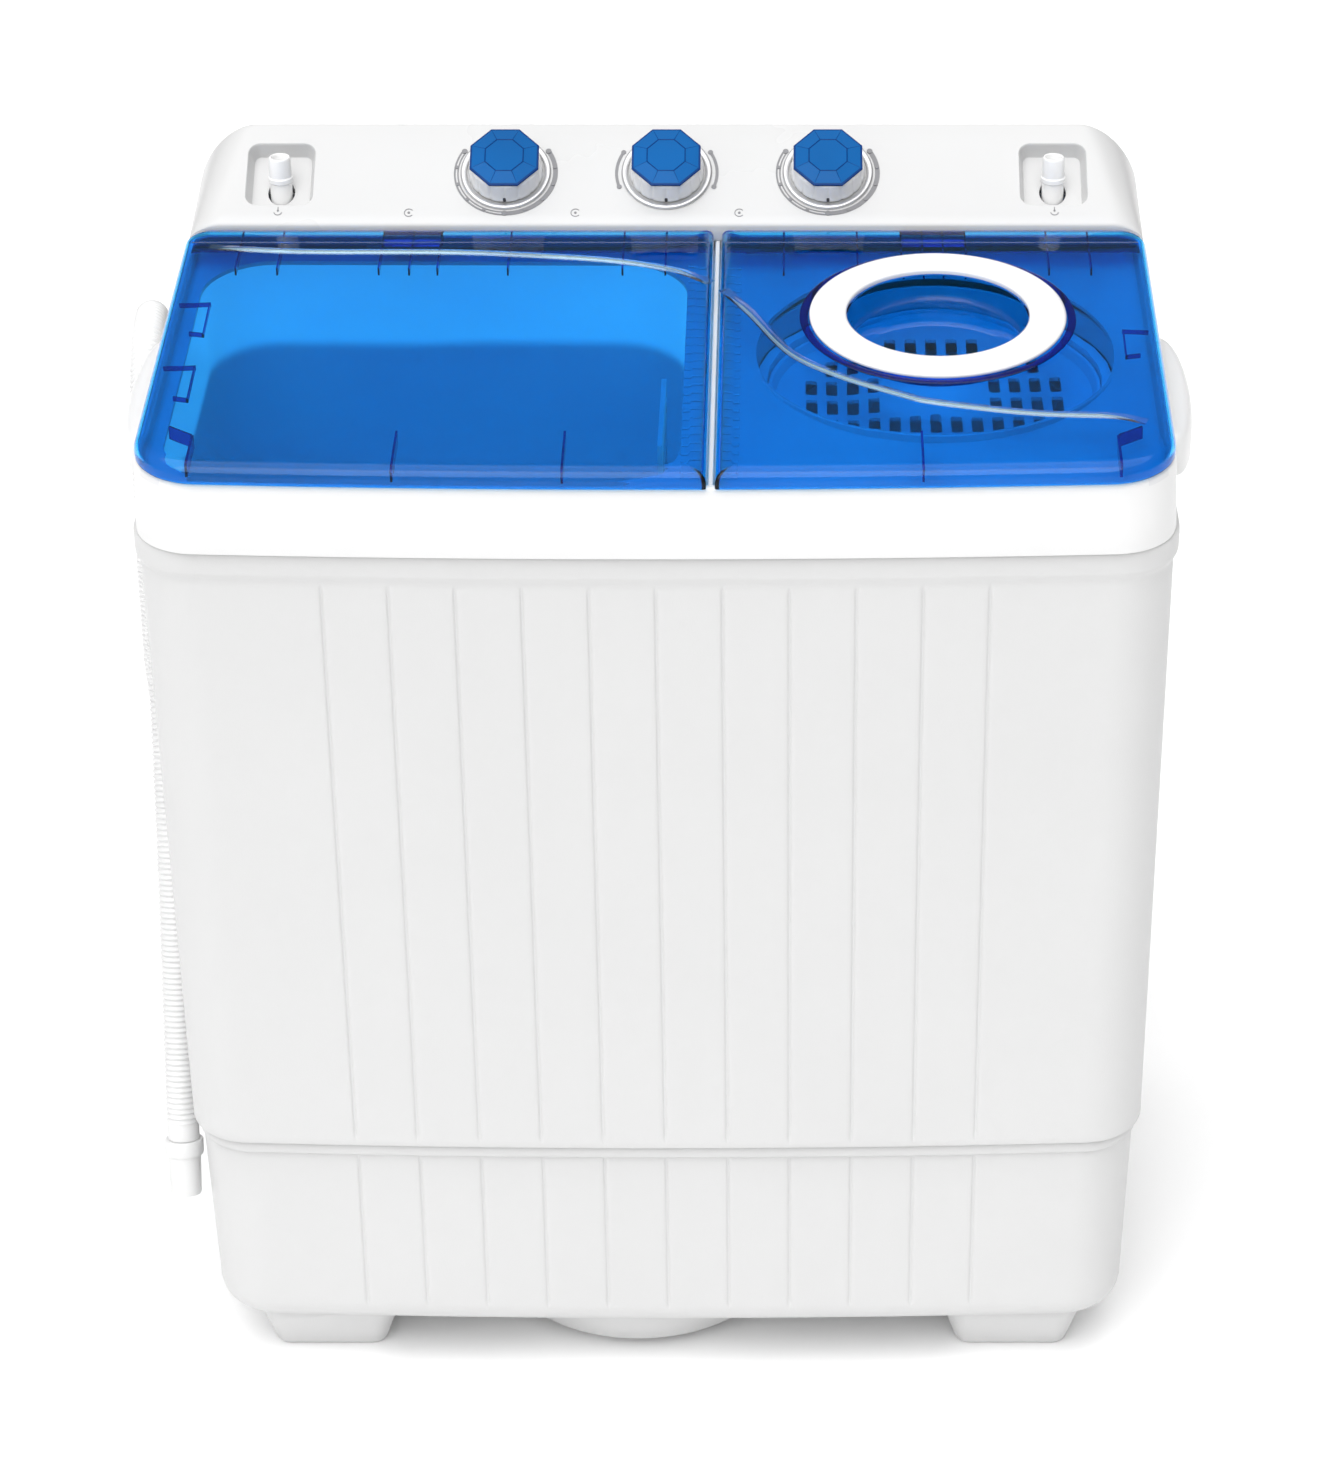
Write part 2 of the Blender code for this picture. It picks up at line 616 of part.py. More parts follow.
def make_wash_drive():
    """Spindle with its bearing housing, pulley, belt, motor pulley, motor and bracket."""
    top = WASH_FLOOR_Z + 0.0086
    add_object("pulsator_shaft", cylinder(0.0060, BELT_Z - 0.020, top, 16, WASH_CENTRE), STEEL)
    housing = turned([
        (0.0180, 0.2780), (0.0180, 0.3250), (0.0450, 0.3330), (0.0450, 0.3385),
        (0.0064, 0.3385), (0.0064, 0.2780),
    ], 28, WASH_CENTRE)
    add_object("pulsator_bearing_housing", housing, GALVANISED)
    add_object("wash_pulley", pulley(WASH_PULLEY_RADIUS, 0.0064, WASH_CENTRE, 32), GREY)
    add_object("drive_belt", belt(), RUBBER)
    add_object("wash_motor_pulley", motor_pulley(), GREY)
    case = turned([
        (0, 0.1003), (0.0460, 0.1003), (0.0500, 0.1050), (0.0500, 0.2100), (0.0440, 0.2180), (0.0160, 0.2200),
        (0.0160, 0.2280), (0.0053, 0.2280), (0.0053, 0.1990), (0, 0.1990),
    ], 24, MOTOR_CENTRE)
    add_object("wash_motor", case, PAINTED)
    x, y = MOTOR_CENTRE
    top = block((x - 0.126, y - 0.045, 0.0960), (x + 0.126, y + 0.045, 0.1000))
    bracket = add_object("wash_motor_bracket", top, GALVANISED)
    legs = []
    for side in (-1, 1):
        leg_x, foot_z = x + side * 0.1245, FLOOR_Z + WALL + GAP
        legs.append(block((leg_x - 0.0015, y - 0.045, foot_z), (leg_x + 0.0015, y + 0.045, 0.0980)))
    boolean(bracket, add_object("bracket_leg_guide", join(*legs), GALVANISED), "UNION")


def pulley(radius, bore, centre, steps):
    """Grooved wheel at the height of the belt; radius is where the belt runs."""
    half = 0.0095
    z = BELT_Z
    return turned([
        (bore, z - half), (radius + 0.006, z - half), (radius + 0.006, z - BELT_HALF - 0.0025),
        (radius, z - BELT_HALF), (radius, z + BELT_HALF), (radius + 0.006, z + BELT_HALF + 0.0025),
        (radius + 0.006, z + half), (bore, z + half),
    ], steps, centre)


def motor_pulley():
    """Small pulley with the motor's shaft pressed into it."""
    r, z, half = MOTOR_PULLEY_RADIUS, BELT_Z, 0.0095
    return turned([
        (0, 0.2000), (0.0050, 0.2000), (0.0050, z - half), (r + 0.006, z - half),
        (r + 0.006, z - BELT_HALF - 0.0025), (r, z - BELT_HALF), (r, z + BELT_HALF),
        (r + 0.006, z + BELT_HALF + 0.0025), (r + 0.006, z + half), (0.0050, z + half),
        (0.0050, z + 0.014), (0, z + 0.014),
    ], 20, MOTOR_CENTRE)


def belt():
    """Flat ring around both pulleys, its straight runs tangent to them."""
    big, small = Vector(WASH_CENTRE), Vector(MOTOR_CENTRE)
    away = big - small
    distance = away.length
    facing = math.atan2(away.y, away.x)
    spread = math.acos((WASH_PULLEY_RADIUS - MOTOR_PULLEY_RADIUS) / distance)

    def path(extra):
        outer = []
        for i in range(25):
            a = facing - (math.pi - spread) + 2 * (math.pi - spread) * i / 24
            outer.append(big + (WASH_PULLEY_RADIUS + extra) * Vector((math.cos(a), math.sin(a))))
        for i in range(13):
            a = facing + (math.pi - spread) + 2 * spread * i / 12
            outer.append(small + (MOTOR_PULLEY_RADIUS + extra) * Vector((math.cos(a), math.sin(a))))
        return [(p.x, p.y) for p in outer]

    near, far = 0.0006, 0.0046
    return loft([
        level(path(near), BELT_Z - 0.0035), level(path(far), BELT_Z - 0.0042),
        level(path(far), BELT_Z + 0.0042), level(path(near), BELT_Z + 0.0035),
    ], ring=True)


def make_overflow_filter():
    """Ribbed lint screen that slides up out of its guides on the wall between the tubs."""
    y0, y1 = -0.090, 0.015
    x0 = -0.0010
    z0, z1 = 0.470, 0.735
    plate = add_object("overflow_filter", block((x0, y0, z0), (x0 + 0.0035, y1, z1)), OFF_WHITE)
    slots = []
    for k in range(8):
        z = z0 + 0.020 + k * 0.0290
        slots.append(block((x0 - 0.01, y0 + 0.012, z), (x0 + 0.02, y1 - 0.012, z + 0.016)))
    boolean(plate, add_object("filter_slot_cutter", join(*slots), OFF_WHITE))


def make_drain_valve():
    """Valve under the tub: body with its outlet, plunger in the seat and the lift rod."""
    x, y = DRAIN_CENTRE
    floor = WASH_FLOOR_Z
    body = turned([
        (0, 0.2700), (0.0210, 0.2700), (0.0210, 0.3300), (0.0260, 0.3340), (0.0260, floor - 0.0033),
        (0.0150, floor - 0.0033), (0.0150, 0.2740), (0, 0.2740),
    ], 28, DRAIN_CENTRE)
    valve = add_object("drain_valve_body", body, GREY)
    turn = Matrix.Rotation(math.pi / 2, 4, "X")
    place = Matrix.Translation((x, y, 0.288))
    pipe = tube(0.0110, 0.0085, -0.055, -0.0165, 20)
    bmesh.ops.transform(pipe, matrix=place @ turn, verts=pipe.verts)
    boolean(valve, add_object("valve_outlet_guide", pipe, GREY), "UNION")
    bore = cylinder(0.0085, -0.060, 0.0, 20)
    bmesh.ops.transform(bore, matrix=place @ turn, verts=bore.verts)
    boolean(valve, add_object("valve_outlet_cutter", bore, GREY))
    plunger = turned([
        (0, 0.3060), (0.0120, 0.3060), (0.0135, 0.3090), (0.0135, 0.3150), (0.0060, 0.3190),
        (0.0040, 0.3190), (0.0040, 0.3300), (0, 0.3300),
    ], 24, DRAIN_CENTRE)
    add_object("drain_valve_plunger", plunger, RUBBER)


# ---------------------------------------------------------------- spin side
def make_spin_casing():
    """Round outer tub: catches the water that the basket throws out."""
    z, neck = SPIN_FLOOR_Z, SPIN_NECK_Z
    profile = [
        (0.0200, z), (0.0200, z + 0.003), (0.1200, z + 0.003), (0.1260, z + 0.020),
        (0.1260, neck - 0.040), (0.1140, neck - 0.0220), (0.1140, neck - 0.0160), (0.1184, neck - 0.0160),
        (0.1184, neck), (0.1256, neck), (0.1256, neck - 0.003), (0.1214, neck - 0.003),
        (0.1214, neck - 0.0180), (0.1295, neck - 0.036), (0.1290, z + 0.014), (0.1210, z),
    ]
    add_object("spin_casing", turned(profile, 32, SPIN_CENTRE), OFF_WHITE)


def make_spin_basket():
    """Perforated basket with its hub; it turns with the shaft and the brake drum."""
    z, r = SPIN_FLOOR_Z + 0.028, SPIN_BASKET_RADIUS
    top = SPIN_NECK_Z - 0.030
    profile = [
        (0, z), (r - 0.012, z), (r - 0.002, z + 0.010), (r, top - 0.010), (r, top), (r - 0.010, top),
        (r - 0.010, top - 0.002), (r - 0.002, top - 0.0045), (r - 0.004, z + 0.012), (r - 0.014, z + 0.002),
        (0.036, z + 0.002), (0.024, z + 0.030), (0, z + 0.036),
    ]
    basket = add_object("spin_basket", turned(profile, 32, SPIN_CENTRE), OFF_WHITE)
    holes = []
    for k in range(8):
        for row in range(3):
            hole = cylinder(0.0055, r - 0.012, r + 0.008, 6)
            lie = Matrix.Rotation(math.pi / 2, 4, "Y")
            turn = Matrix.Rotation(2 * math.pi * (k + 0.5 * (row % 2)) / 8, 4, "Z")
            place = Matrix.Translation((*SPIN_CENTRE, z + 0.080 + row * 0.100))
            bmesh.ops.transform(hole, matrix=place @ turn @ lie, verts=hole.verts)
            holes.append(hole)
    boolean(basket, add_object("basket_hole_cutter", join(*holes), OFF_WHITE))


def make_spin_cover():
    """Slotted cover that lies in the mouth of the spin casing."""
    z = SPIN_NECK_Z - 0.0155
    r = SPIN_COVER_RADIUS
    profile = [
        (0, z), (r - 0.006, z), (r, z + 0.002), (r, z + 0.0105), (r - 0.0030, z + 0.0105), (r - 0.0060, z + 0.0040),
        (0.0950, z + 0.0025), (0.0400, z + 0.0025), (0.0300, z + 0.0080), (0.0120, z + 0.0125), (0, z + 0.0130),
    ]
    cover = add_object("spin_inner_cover", turned(profile, 36, SPIN_CENTRE), OFF_WHITE)
    slots = []
    pitch_x, pitch_y, clear, reach = 0.0144, 0.0230, 0.0440, 0.0900
    for i in range(-6, 7):
        for j in range(-4, 5):
            x, y = i * pitch_x, j * pitch_y
            if clear < math.hypot(x, y) and math.hypot(abs(x) + 0.004, abs(y) + 0.009) < reach:
                sx, sy = SPIN_CENTRE[0] + x, SPIN_CENTRE[1] + y
                slots.append(block((sx - 0.0036, sy - 0.0085, z - 0.01), (sx + 0.0036, sy + 0.0085, z + 0.02)))
    boolean(cover, add_object("cover_slot_cutter", join(*slots), OFF_WHITE))


def make_spin_drive():
    """Shaft, seal, brake drum and shoe lever, motor, its plate and three springs."""
    x, y = SPIN_CENTRE
    floor = SPIN_FLOOR_Z
    add_object("spin_shaft", cylinder(0.0055, 0.2050, floor + 0.0277, 16, SPIN_CENTRE), STEEL)
    seal = turned([
        (0.0190, floor - 0.0003), (0.0300, floor - 0.0003), (0.0300, floor - 0.005), (0.0200, floor - 0.008),
        (0.0250, floor - 0.014), (0.0160, floor - 0.020), (0.0200, floor - 0.026), (0.0110, floor - 0.030),
        (0.0062, floor - 0.030), (0.0062, floor - 0.022), (0.0130, floor - 0.010),
    ], 16, SPIN_CENTRE)
    add_object("spin_shaft_seal", seal, RUBBER)
    drum = turned([
        (0.0058, 0.2580), (0.0400, 0.2580), (0.0400, 0.2780), (0.0370, 0.2780), (0.0370, 0.2620),
        (0.0150, 0.2620), (0.0150, 0.2860), (0.0058, 0.2860),
    ], 24, SPIN_CENTRE)
    add_object("brake_drum", drum, STEEL)
    make_brake_lever(x, y)
    case = turned([
        (0, 0.1203), (0.0540, 0.1203), (0.0600, 0.1270), (0.0600, 0.2180), (0.0520, 0.2290), (0.0180, 0.2310),
        (0.0180, 0.2400), (0.0058, 0.2400), (0.0058, 0.2040), (0, 0.2040),
    ], 24, SPIN_CENTRE)
    add_object("spin_motor", case, PAINTED)
    plate = turned([(0.0, 0.1140), (0.0820, 0.1140), (0.0820, 0.1200), (0.0, 0.1200)], 32, SPIN_CENTRE)
    add_object("spin_motor_plate", plate, GALVANISED)
    for k in range(3):
        a = math.radians(90 + 120 * k)
        centre = (x + 0.064 * math.cos(a), y + 0.064 * math.sin(a))
        add_object(f"suspension_spring_{k + 1}", spring(centre, 0.0437, 0.1135), STEEL)


def spring(centre, z0, z1, turns=4, radius=0.0125, wire=0.0020, per_turn=8, sides=4):
    """Coil spring standing between two heights."""
    bm = bmesh.new()
    count = turns * per_turn
    low, high = z0 + wire, z1 - wire
    rows = []
    for i in range(count + 1):
        a = 2 * math.pi * i / per_turn
        height = low + (high - low) * i / count
        mid = Vector((centre[0] + radius * math.cos(a), centre[1] + radius * math.sin(a), height))
        out = Vector((math.cos(a), math.sin(a), 0))
        ring = []
        for j in range(sides):
            b = 2 * math.pi * j / sides
            ring.append(bm.verts.new(mid + wire * (out * math.cos(b) + Vector((0, 0, 1)) * math.sin(b))))
        rows.append(ring)
    for r0, r1 in zip(rows, rows[1:]):
        for j in range(sides):
            k = (j + 1) % sides
            bm.faces.new((r0[j], r0[k], r1[k], r1[j]))
    bm.faces.new(rows[0])
    bm.faces.new(rows[-1])
    return bm


BRAKE_PIVOT = (0.1380, 0.0400)


def make_brake_lever(x, y):
    """Arm with a friction shoe, swinging on a post beside the brake drum."""
    z0, z1 = 0.2640, 0.2740
    px, py = BRAKE_PIVOT
    bar = block((px - 0.006, py - 0.060, z0), (px + 0.006, py + 0.012, z1), 0.0015)
    arm = add_object("brake_lever", bar, GALVANISED)
    shoe = block((px + 0.003, y - 0.014, z0), (x - 0.0400 - 0.0018, y + 0.014, z1))
    boolean(arm, add_object("shoe_guide", shoe, GALVANISED), "UNION")
    bore = cylinder(0.0036, z0 - 0.01, z1 + 0.01, 16, BRAKE_PIVOT)
    boolean(arm, add_object("lever_bore_cutter", bore, GALVANISED))
    post = turned([
        (0, 0.2480), (0.0075, 0.2480), (0.0075, 0.2637), (0.0033, 0.2637), (0.0033, 0.2800), (0, 0.2800),
    ], 16, BRAKE_PIVOT)
    add_object("brake_pivot_post", post, STEEL)


# ---------------------------------------------------------------- hose, rear and fittings
def make_back_cover():
    """Sheet over the cabinet's rear window, with louvre slots and four screws."""
    y0 = BACK_Y + GAP
    y1 = y0 + 0.0020
    cover = add_object("back_cover", block((-0.300, y0, 0.247), (0.300, y1, 0.665)), WHITE)
    slots = []
    for column in (-1, 1):
        for k in range(6):
            z = 0.300 + 0.016 * k
            slots.append(block((column * 0.150 - 0.055, y0 - 0.01, z), (column * 0.150 + 0.055, y1 + 0.01, z + 0.006)))
    boolean(cover, add_object("louvre_cutter", join(*slots), WHITE))
    for k, (sx, z) in enumerate(((-1, 0.256), (1, 0.256), (-1, 0.656), (1, 0.656)), 1):
        screw = turned([(0, 0), (0.0040, 0), (0.0036, 0.0008), (0, 0.0012)], 12)
        place = Matrix.Translation((sx * 0.290, y1 + GAP, z)) @ Matrix.Rotation(-math.pi / 2, 4, "X")
        bmesh.ops.transform(screw, matrix=place, verts=screw.verts)
        add_object(f"back_cover_screw_{k}", screw, STEEL)


HOSE_OUTLET = (-0.3695, 0.160, 0.1500)
HOSE_ROUTE = (
    (-0.3695, 0.160, 0.1507), (-0.3696, 0.160, 0.1780), (-0.3755, 0.163, 0.2200), (-0.3900, 0.170, 0.2750),
    (-0.4030, 0.177, 0.3400), (-0.4095, 0.184, 0.4150), (-0.4090, 0.190, 0.4950), (-0.4035, 0.193, 0.5700),
    (-0.3965, 0.190, 0.6400), (-0.3890, 0.170, 0.6980), (-0.3835, 0.134, 0.7280), (-0.3805, 0.092, 0.7290),
    (-0.3790, 0.054, 0.7050), (-0.3780, 0.030, 0.6600), (-0.3755, 0.012, 0.6050), (-0.3720, -0.010, 0.5400),
    (-0.3700, -0.034, 0.4750), (-0.3685, -0.059, 0.4100), (-0.3675, -0.084, 0.3400), (-0.3670, -0.108, 0.2700),
    (-0.3665, -0.128, 0.2150), (-0.3662, -0.140, 0.1750),
)


def smooth_route(points, spacing):
    """Points at an even spacing along a Catmull-Rom curve through the route."""
    ends = [Vector(points[0]) * 2 - Vector(points[1])]
    ends += [Vector(p) for p in points]
    ends.append(ends[-1] * 2 - ends[-2])
    fine = []
    for i in range(1, len(ends) - 2):
        p0, p1, p2, p3 = ends[i - 1:i + 3]
        for s in range(24):
            t = s / 24
            fine.append(0.5 * ((2 * p1) + (p2 - p0) * t + (2 * p0 - 5 * p1 + 4 * p2 - p3) * t * t
                               + (3 * p1 - p0 - 3 * p2 + p3) * t ** 3))
    fine.append(ends[-2])
    out, walked = [fine[0]], 0.0
    for a, b in zip(fine, fine[1:]):
        walked += (b - a).length
        if walked >= spacing:
            out.append(b)
            walked = 0.0
    if (out[-1] - fine[-1]).length > spacing * 0.4:
        out.append(fine[-1])
    else:
        out[-1] = fine[-1]
    return out


def make_hose():
    """Drain hose: outlet elbow low at the rear left, over the hook, down to its end cuff."""
    x, y, z = HOSE_OUTLET
    socket = turned([
        (0, z - 0.044), (0.0120, z - 0.044), (0.0145, z - 0.040), (0.0145, z), (0.0100, z),
        (0.0100, z - 0.036), (0, z - 0.036),
    ], 20, (x, y))
    elbow = add_object("hose_outlet", socket, GREY)
    spigot = cylinder(0.0100, 0.0080, -x - BASE_HALF - 0.0012, 16)
    place = Matrix.Translation((x, y, z - 0.024)) @ Matrix.Rotation(math.pi / 2, 4, "Y")
    bmesh.ops.transform(spigot, matrix=place, verts=spigot.verts)
    boolean(elbow, add_object("spigot_guide", spigot, GREY), "UNION")
    points = smooth_route(HOSE_ROUTE, 0.030)
    curve = bpy.data.curves.new("drain_hose", "CURVE")
    curve.dimensions = "3D"
    curve.resolution_u = 1
    curve.render_resolution_u = 0
    curve.bevel_depth = HOSE_RADIUS
    curve.bevel_resolution = 2
    curve.use_fill_caps = True
    spline = curve.splines.new("POLY")
    spline.points.add(len(points) - 1)
    for target, p in zip(spline.points, points):
        target.co = (*p, 1.0)
    hose = bpy.data.objects.new("drain_hose", curve)
    curve.materials.append(HOSE_WHITE)
    bpy.context.scene.collection.objects.link(hose)
    end, before = points[-1], points[-2]
    heading = (end - before).normalized()
    cuff = turned([
        (0, GAP), (0.0145, GAP), (0.0145, 0.012), (0.0122, 0.014), (0.0116, 0.044),
        (0.0095, 0.044), (0.0095, 0.006), (0, 0.006),
    ], 24)
    turn = heading.to_track_quat("Z", "Y").to_matrix().to_4x4()
    bmesh.ops.transform(cuff, matrix=Matrix.Translation(end) @ turn, verts=cuff.verts)
    add_object("hose_end_cuff", cuff, HOSE_WHITE)


def make_hose_hook():
    """Hook on the collar's left side: the hose lies over it."""
    x_wall = -FRAME_HALF - 0.0024
    y0, y1 = 0.098, 0.128
    plate = block((x_wall - 0.0030, y0, 0.7130), (x_wall, y1, 0.7560))
    hook = add_object("hose_hook", plate, WHITE)
    shelf = block((-0.3738, y0 + 0.002, 0.7130), (x_wall - 0.0006, y1 - 0.002, 0.7165))
    boolean(hook, add_object("shelf_guide", shelf, WHITE), "UNION")


def make_rear_fittings():
    """Run capacitor standing in the base and the gland of the mains lead."""
    can = cylinder(0.0190, FLOOR_Z + WALL + GAP, 0.1150, 24, (0.070, 0.130))
    add_object("run_capacitor", can, GALVANISED)
    gland = turned([
        (0.0095, 0.0), (0.0095, 0.0016), (0.0070, 0.0026), (0.0045, 0.0026), (0.0045, 0.0),
    ], 16)
    place = Matrix.Translation((0.240, BACK_Y - 0.003 + GAP, 0.150)) @ Matrix.Rotation(-math.pi / 2, 4, "X")
    bmesh.ops.transform(gland, matrix=place, verts=gland.verts)
    add_object("cord_gland", gland, DARK)


def build():
    clear_scene()
    make_cabinet()
    make_base()
    make_top_frame()
    make_side_handle("side_handle_left", -1)
    make_side_handle("side_handle_right", 1)
    make_control_panel()
    make_knob(-1, "wash_timer", "wash_timer")
    make_knob(0, "wash_selector", "selector_switch")
    make_knob(1, "spin_timer", "spin_timer")
    make_inlet_spout("wash_inlet_spout", -1)
    make_inlet_spout("spin_inlet_spout", 1)
    make_lids()
    make_wash_tub()
    make_pulsator()
    make_wash_drive()
    make_overflow_filter()
    make_drain_valve()
    make_spin_casing()
    make_spin_basket()
    make_spin_cover()
    make_spin_drive()
    make_back_cover()
    make_hose()
    make_hose_hook()
    make_rear_fittings()


build()
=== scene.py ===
import json
import math

import bmesh
import bpy
from mathutils import Matrix, Vector


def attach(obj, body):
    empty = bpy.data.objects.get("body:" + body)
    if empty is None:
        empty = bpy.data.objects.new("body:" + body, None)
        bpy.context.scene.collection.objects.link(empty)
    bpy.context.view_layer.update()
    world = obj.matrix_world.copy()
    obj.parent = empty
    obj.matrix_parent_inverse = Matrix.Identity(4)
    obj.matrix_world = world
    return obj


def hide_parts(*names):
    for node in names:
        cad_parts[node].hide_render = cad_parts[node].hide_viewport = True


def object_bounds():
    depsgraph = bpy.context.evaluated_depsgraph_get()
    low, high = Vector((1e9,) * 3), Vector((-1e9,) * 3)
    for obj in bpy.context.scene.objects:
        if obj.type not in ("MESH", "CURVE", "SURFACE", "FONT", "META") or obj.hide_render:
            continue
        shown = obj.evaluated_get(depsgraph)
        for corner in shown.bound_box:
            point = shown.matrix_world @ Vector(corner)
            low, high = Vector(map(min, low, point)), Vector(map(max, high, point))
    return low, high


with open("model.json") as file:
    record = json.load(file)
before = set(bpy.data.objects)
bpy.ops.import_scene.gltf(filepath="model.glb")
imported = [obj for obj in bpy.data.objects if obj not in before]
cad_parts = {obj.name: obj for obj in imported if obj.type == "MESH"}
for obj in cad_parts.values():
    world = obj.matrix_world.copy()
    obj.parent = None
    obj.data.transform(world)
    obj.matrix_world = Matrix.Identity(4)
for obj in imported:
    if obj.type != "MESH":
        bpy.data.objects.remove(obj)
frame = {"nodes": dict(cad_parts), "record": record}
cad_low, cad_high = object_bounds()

# ------------------------------------------------------------ dimensions, as in the CAD (metres)
WALL = 0.003
BOW, BOW_SPAN = 0.009, 0.350
FRONT_Y, BACK_Y = -0.214, 0.2205
BODY_HALF, BODY_FOOT_HALF, LIP_OUT = 0.3555, 0.3527, 0.003
BASE_HALF, BASE_FOOT_HALF = 0.3475, 0.3437
CORNER_FRONT, CORNER_BACK = 0.046, 0.026
FLOOR_Z, STEP_Z, SEAM_Z = 0.040, 0.2177, 0.7120
GROOVE_COUNT, GROOVE_PITCH, GROOVE_WIDTH, GROOVE_DEPTH = 11, 0.0455, 0.0036, 0.0012
# across the groove's width, and the share of its depth there
GROOVE_SHAPE = ((-0.5, 0.0), (-0.36, 0.25), (-0.2, 0.85), (0.0, 1.0), (0.2, 0.85), (0.36, 0.25), (0.5, 0.0))
TILT = math.radians(3.4)
RIM_FRONT_Z = 0.7650
FRAME_HALF, FRAME_FRONT_Y, FRAME_BACK_Y, DECK_DROP = 0.3535, -0.220, 0.2215, 0.009
LID_FRONT_Y, LID_HALF, LID_HEIGHT, LID_WALL, HINGE_Y = -0.223, 0.3525, 0.0135, 0.0025, 0.1330
LID_SPLIT, LID_SPLIT_HALF = 0.0382, 0.0029
PANEL_FRONT_Y, PANEL_BACK_Y, PANEL_FRONT_Z = 0.1400, 0.2215, 0.7990
PANEL_SLOPE = math.radians(31.0)
KNOB_PITCH, KNOB_Y, KNOB_RADIUS, CAP_RADIUS = 0.1195, 0.1800, 0.0275, 0.0276
INLET_X, INLET_Y, INLET_HOLE, SPINDLE_HOLE = 0.2868, 0.1790, 0.0100, 0.0045
WASH_X, WASH_Y, WASH_FLOOR_Z = (-0.336, 0.017), (-0.196, 0.121), 0.345
SPIN_CENTRE, SPIN_NECK_Z, MOUTH_RADIUS, COVER_RADIUS = (0.1942, -0.0140), 0.748, 0.1262, 0.1176
SLOT_PITCH, SLOT_HALF, SLOT_NEAR, SLOT_FAR = (0.0144, 0.0310), (0.0040, 0.0115), 0.0450, 0.0960
SPIN_RING_CENTRE = (0.1960, -0.0055)
WELL_CENTRE = (-0.025, -0.065)
SEAM_GAP = 0.0003               # left open between two pieces that meet
PRINT_LIFT, ICON_LIFT = 0.00035, 0.0003
TIMER_START, TIMER_END = 148, 392   # degrees round a timer's dial
FINE, ROUND, SMALL = 128, 96, 32    # sides of a turned piece, by its size
HOSE_RADIUS = 0.0125
HOSE_ROUTE = (
    (-0.3695, 0.160, 0.1507), (-0.3696, 0.160, 0.1780), (-0.3755, 0.163, 0.2200), (-0.3900, 0.170, 0.2750),
    (-0.4030, 0.177, 0.3400), (-0.4095, 0.184, 0.4150), (-0.4090, 0.190, 0.4950), (-0.4035, 0.193, 0.5700),
    (-0.3965, 0.190, 0.6400), (-0.3890, 0.170, 0.6980), (-0.3835, 0.134, 0.7280), (-0.3805, 0.092, 0.7290),
    (-0.3790, 0.054, 0.7050), (-0.3780, 0.030, 0.6600), (-0.3755, 0.012, 0.6050), (-0.3720, -0.010, 0.5400),
    (-0.3700, -0.034, 0.4750), (-0.3685, -0.059, 0.4100), (-0.3675, -0.084, 0.3400),
    (-0.3670, -0.108, 0.2700), (-0.3665, -0.128, 0.2150), (-0.3662, -0.140, 0.1750),
)


# ------------------------------------------------------------ materials
def material(name, colour, roughness, vary=0.03, grain=900.0, bump=0.08, rough_vary=0.06,
             stretch=(1, 1, 1), **fixed):
    """Principled material: colour and roughness drift slowly, and a fine grain is in the bump."""
    mat = bpy.data.materials.new(name)
    mat.use_nodes = True
    nodes, links = mat.node_tree.nodes, mat.node_tree.links
    shader = nodes["Principled BSDF"]
    place = nodes.new("ShaderNodeTexCoord")
    mapping = nodes.new("ShaderNodeMapping")
    mapping.inputs["Scale"].default_value = stretch
    links.new(place.outputs["Object"], mapping.inputs["Vector"])
    drift = nodes.new("ShaderNodeTexNoise")
    drift.inputs["Scale"].default_value = 7.0
    drift.inputs["Detail"].default_value = 4.0
    links.new(mapping.outputs["Vector"], drift.inputs["Vector"])
    ramp = nodes.new("ShaderNodeValToRGB")
    ramp.color_ramp.elements[0].position = 0.35
    ramp.color_ramp.elements[1].position = 0.65
    ramp.color_ramp.elements[0].color = (*[c * (1 - vary) for c in colour], 1)
    ramp.color_ramp.elements[1].color = (*[min(1, c * (1 + vary)) for c in colour], 1)
    links.new(drift.outputs["Fac"], ramp.inputs["Fac"])
    links.new(ramp.outputs["Color"], shader.inputs["Base Color"])
    spread = nodes.new("ShaderNodeMapRange")
    spread.inputs["To Min"].default_value = max(0.0, roughness - rough_vary)
    spread.inputs["To Max"].default_value = roughness + rough_vary
    links.new(drift.outputs["Fac"], spread.inputs["Value"])
    links.new(spread.outputs["Result"], shader.inputs["Roughness"])
    fine = nodes.new("ShaderNodeTexNoise")
    fine.inputs["Scale"].default_value = grain
    fine.inputs["Detail"].default_value = 3.0
    links.new(mapping.outputs["Vector"], fine.inputs["Vector"])
    relief = nodes.new("ShaderNodeBump")
    relief.inputs["Strength"].default_value = bump
    relief.inputs["Distance"].default_value = 0.0004
    links.new(fine.outputs["Fac"], relief.inputs["Height"])
    links.new(relief.outputs["Normal"], shader.inputs["Normal"])
    for socket, value in fixed.items():
        shader.inputs[socket.replace("_", " ")].default_value = value
    return mat


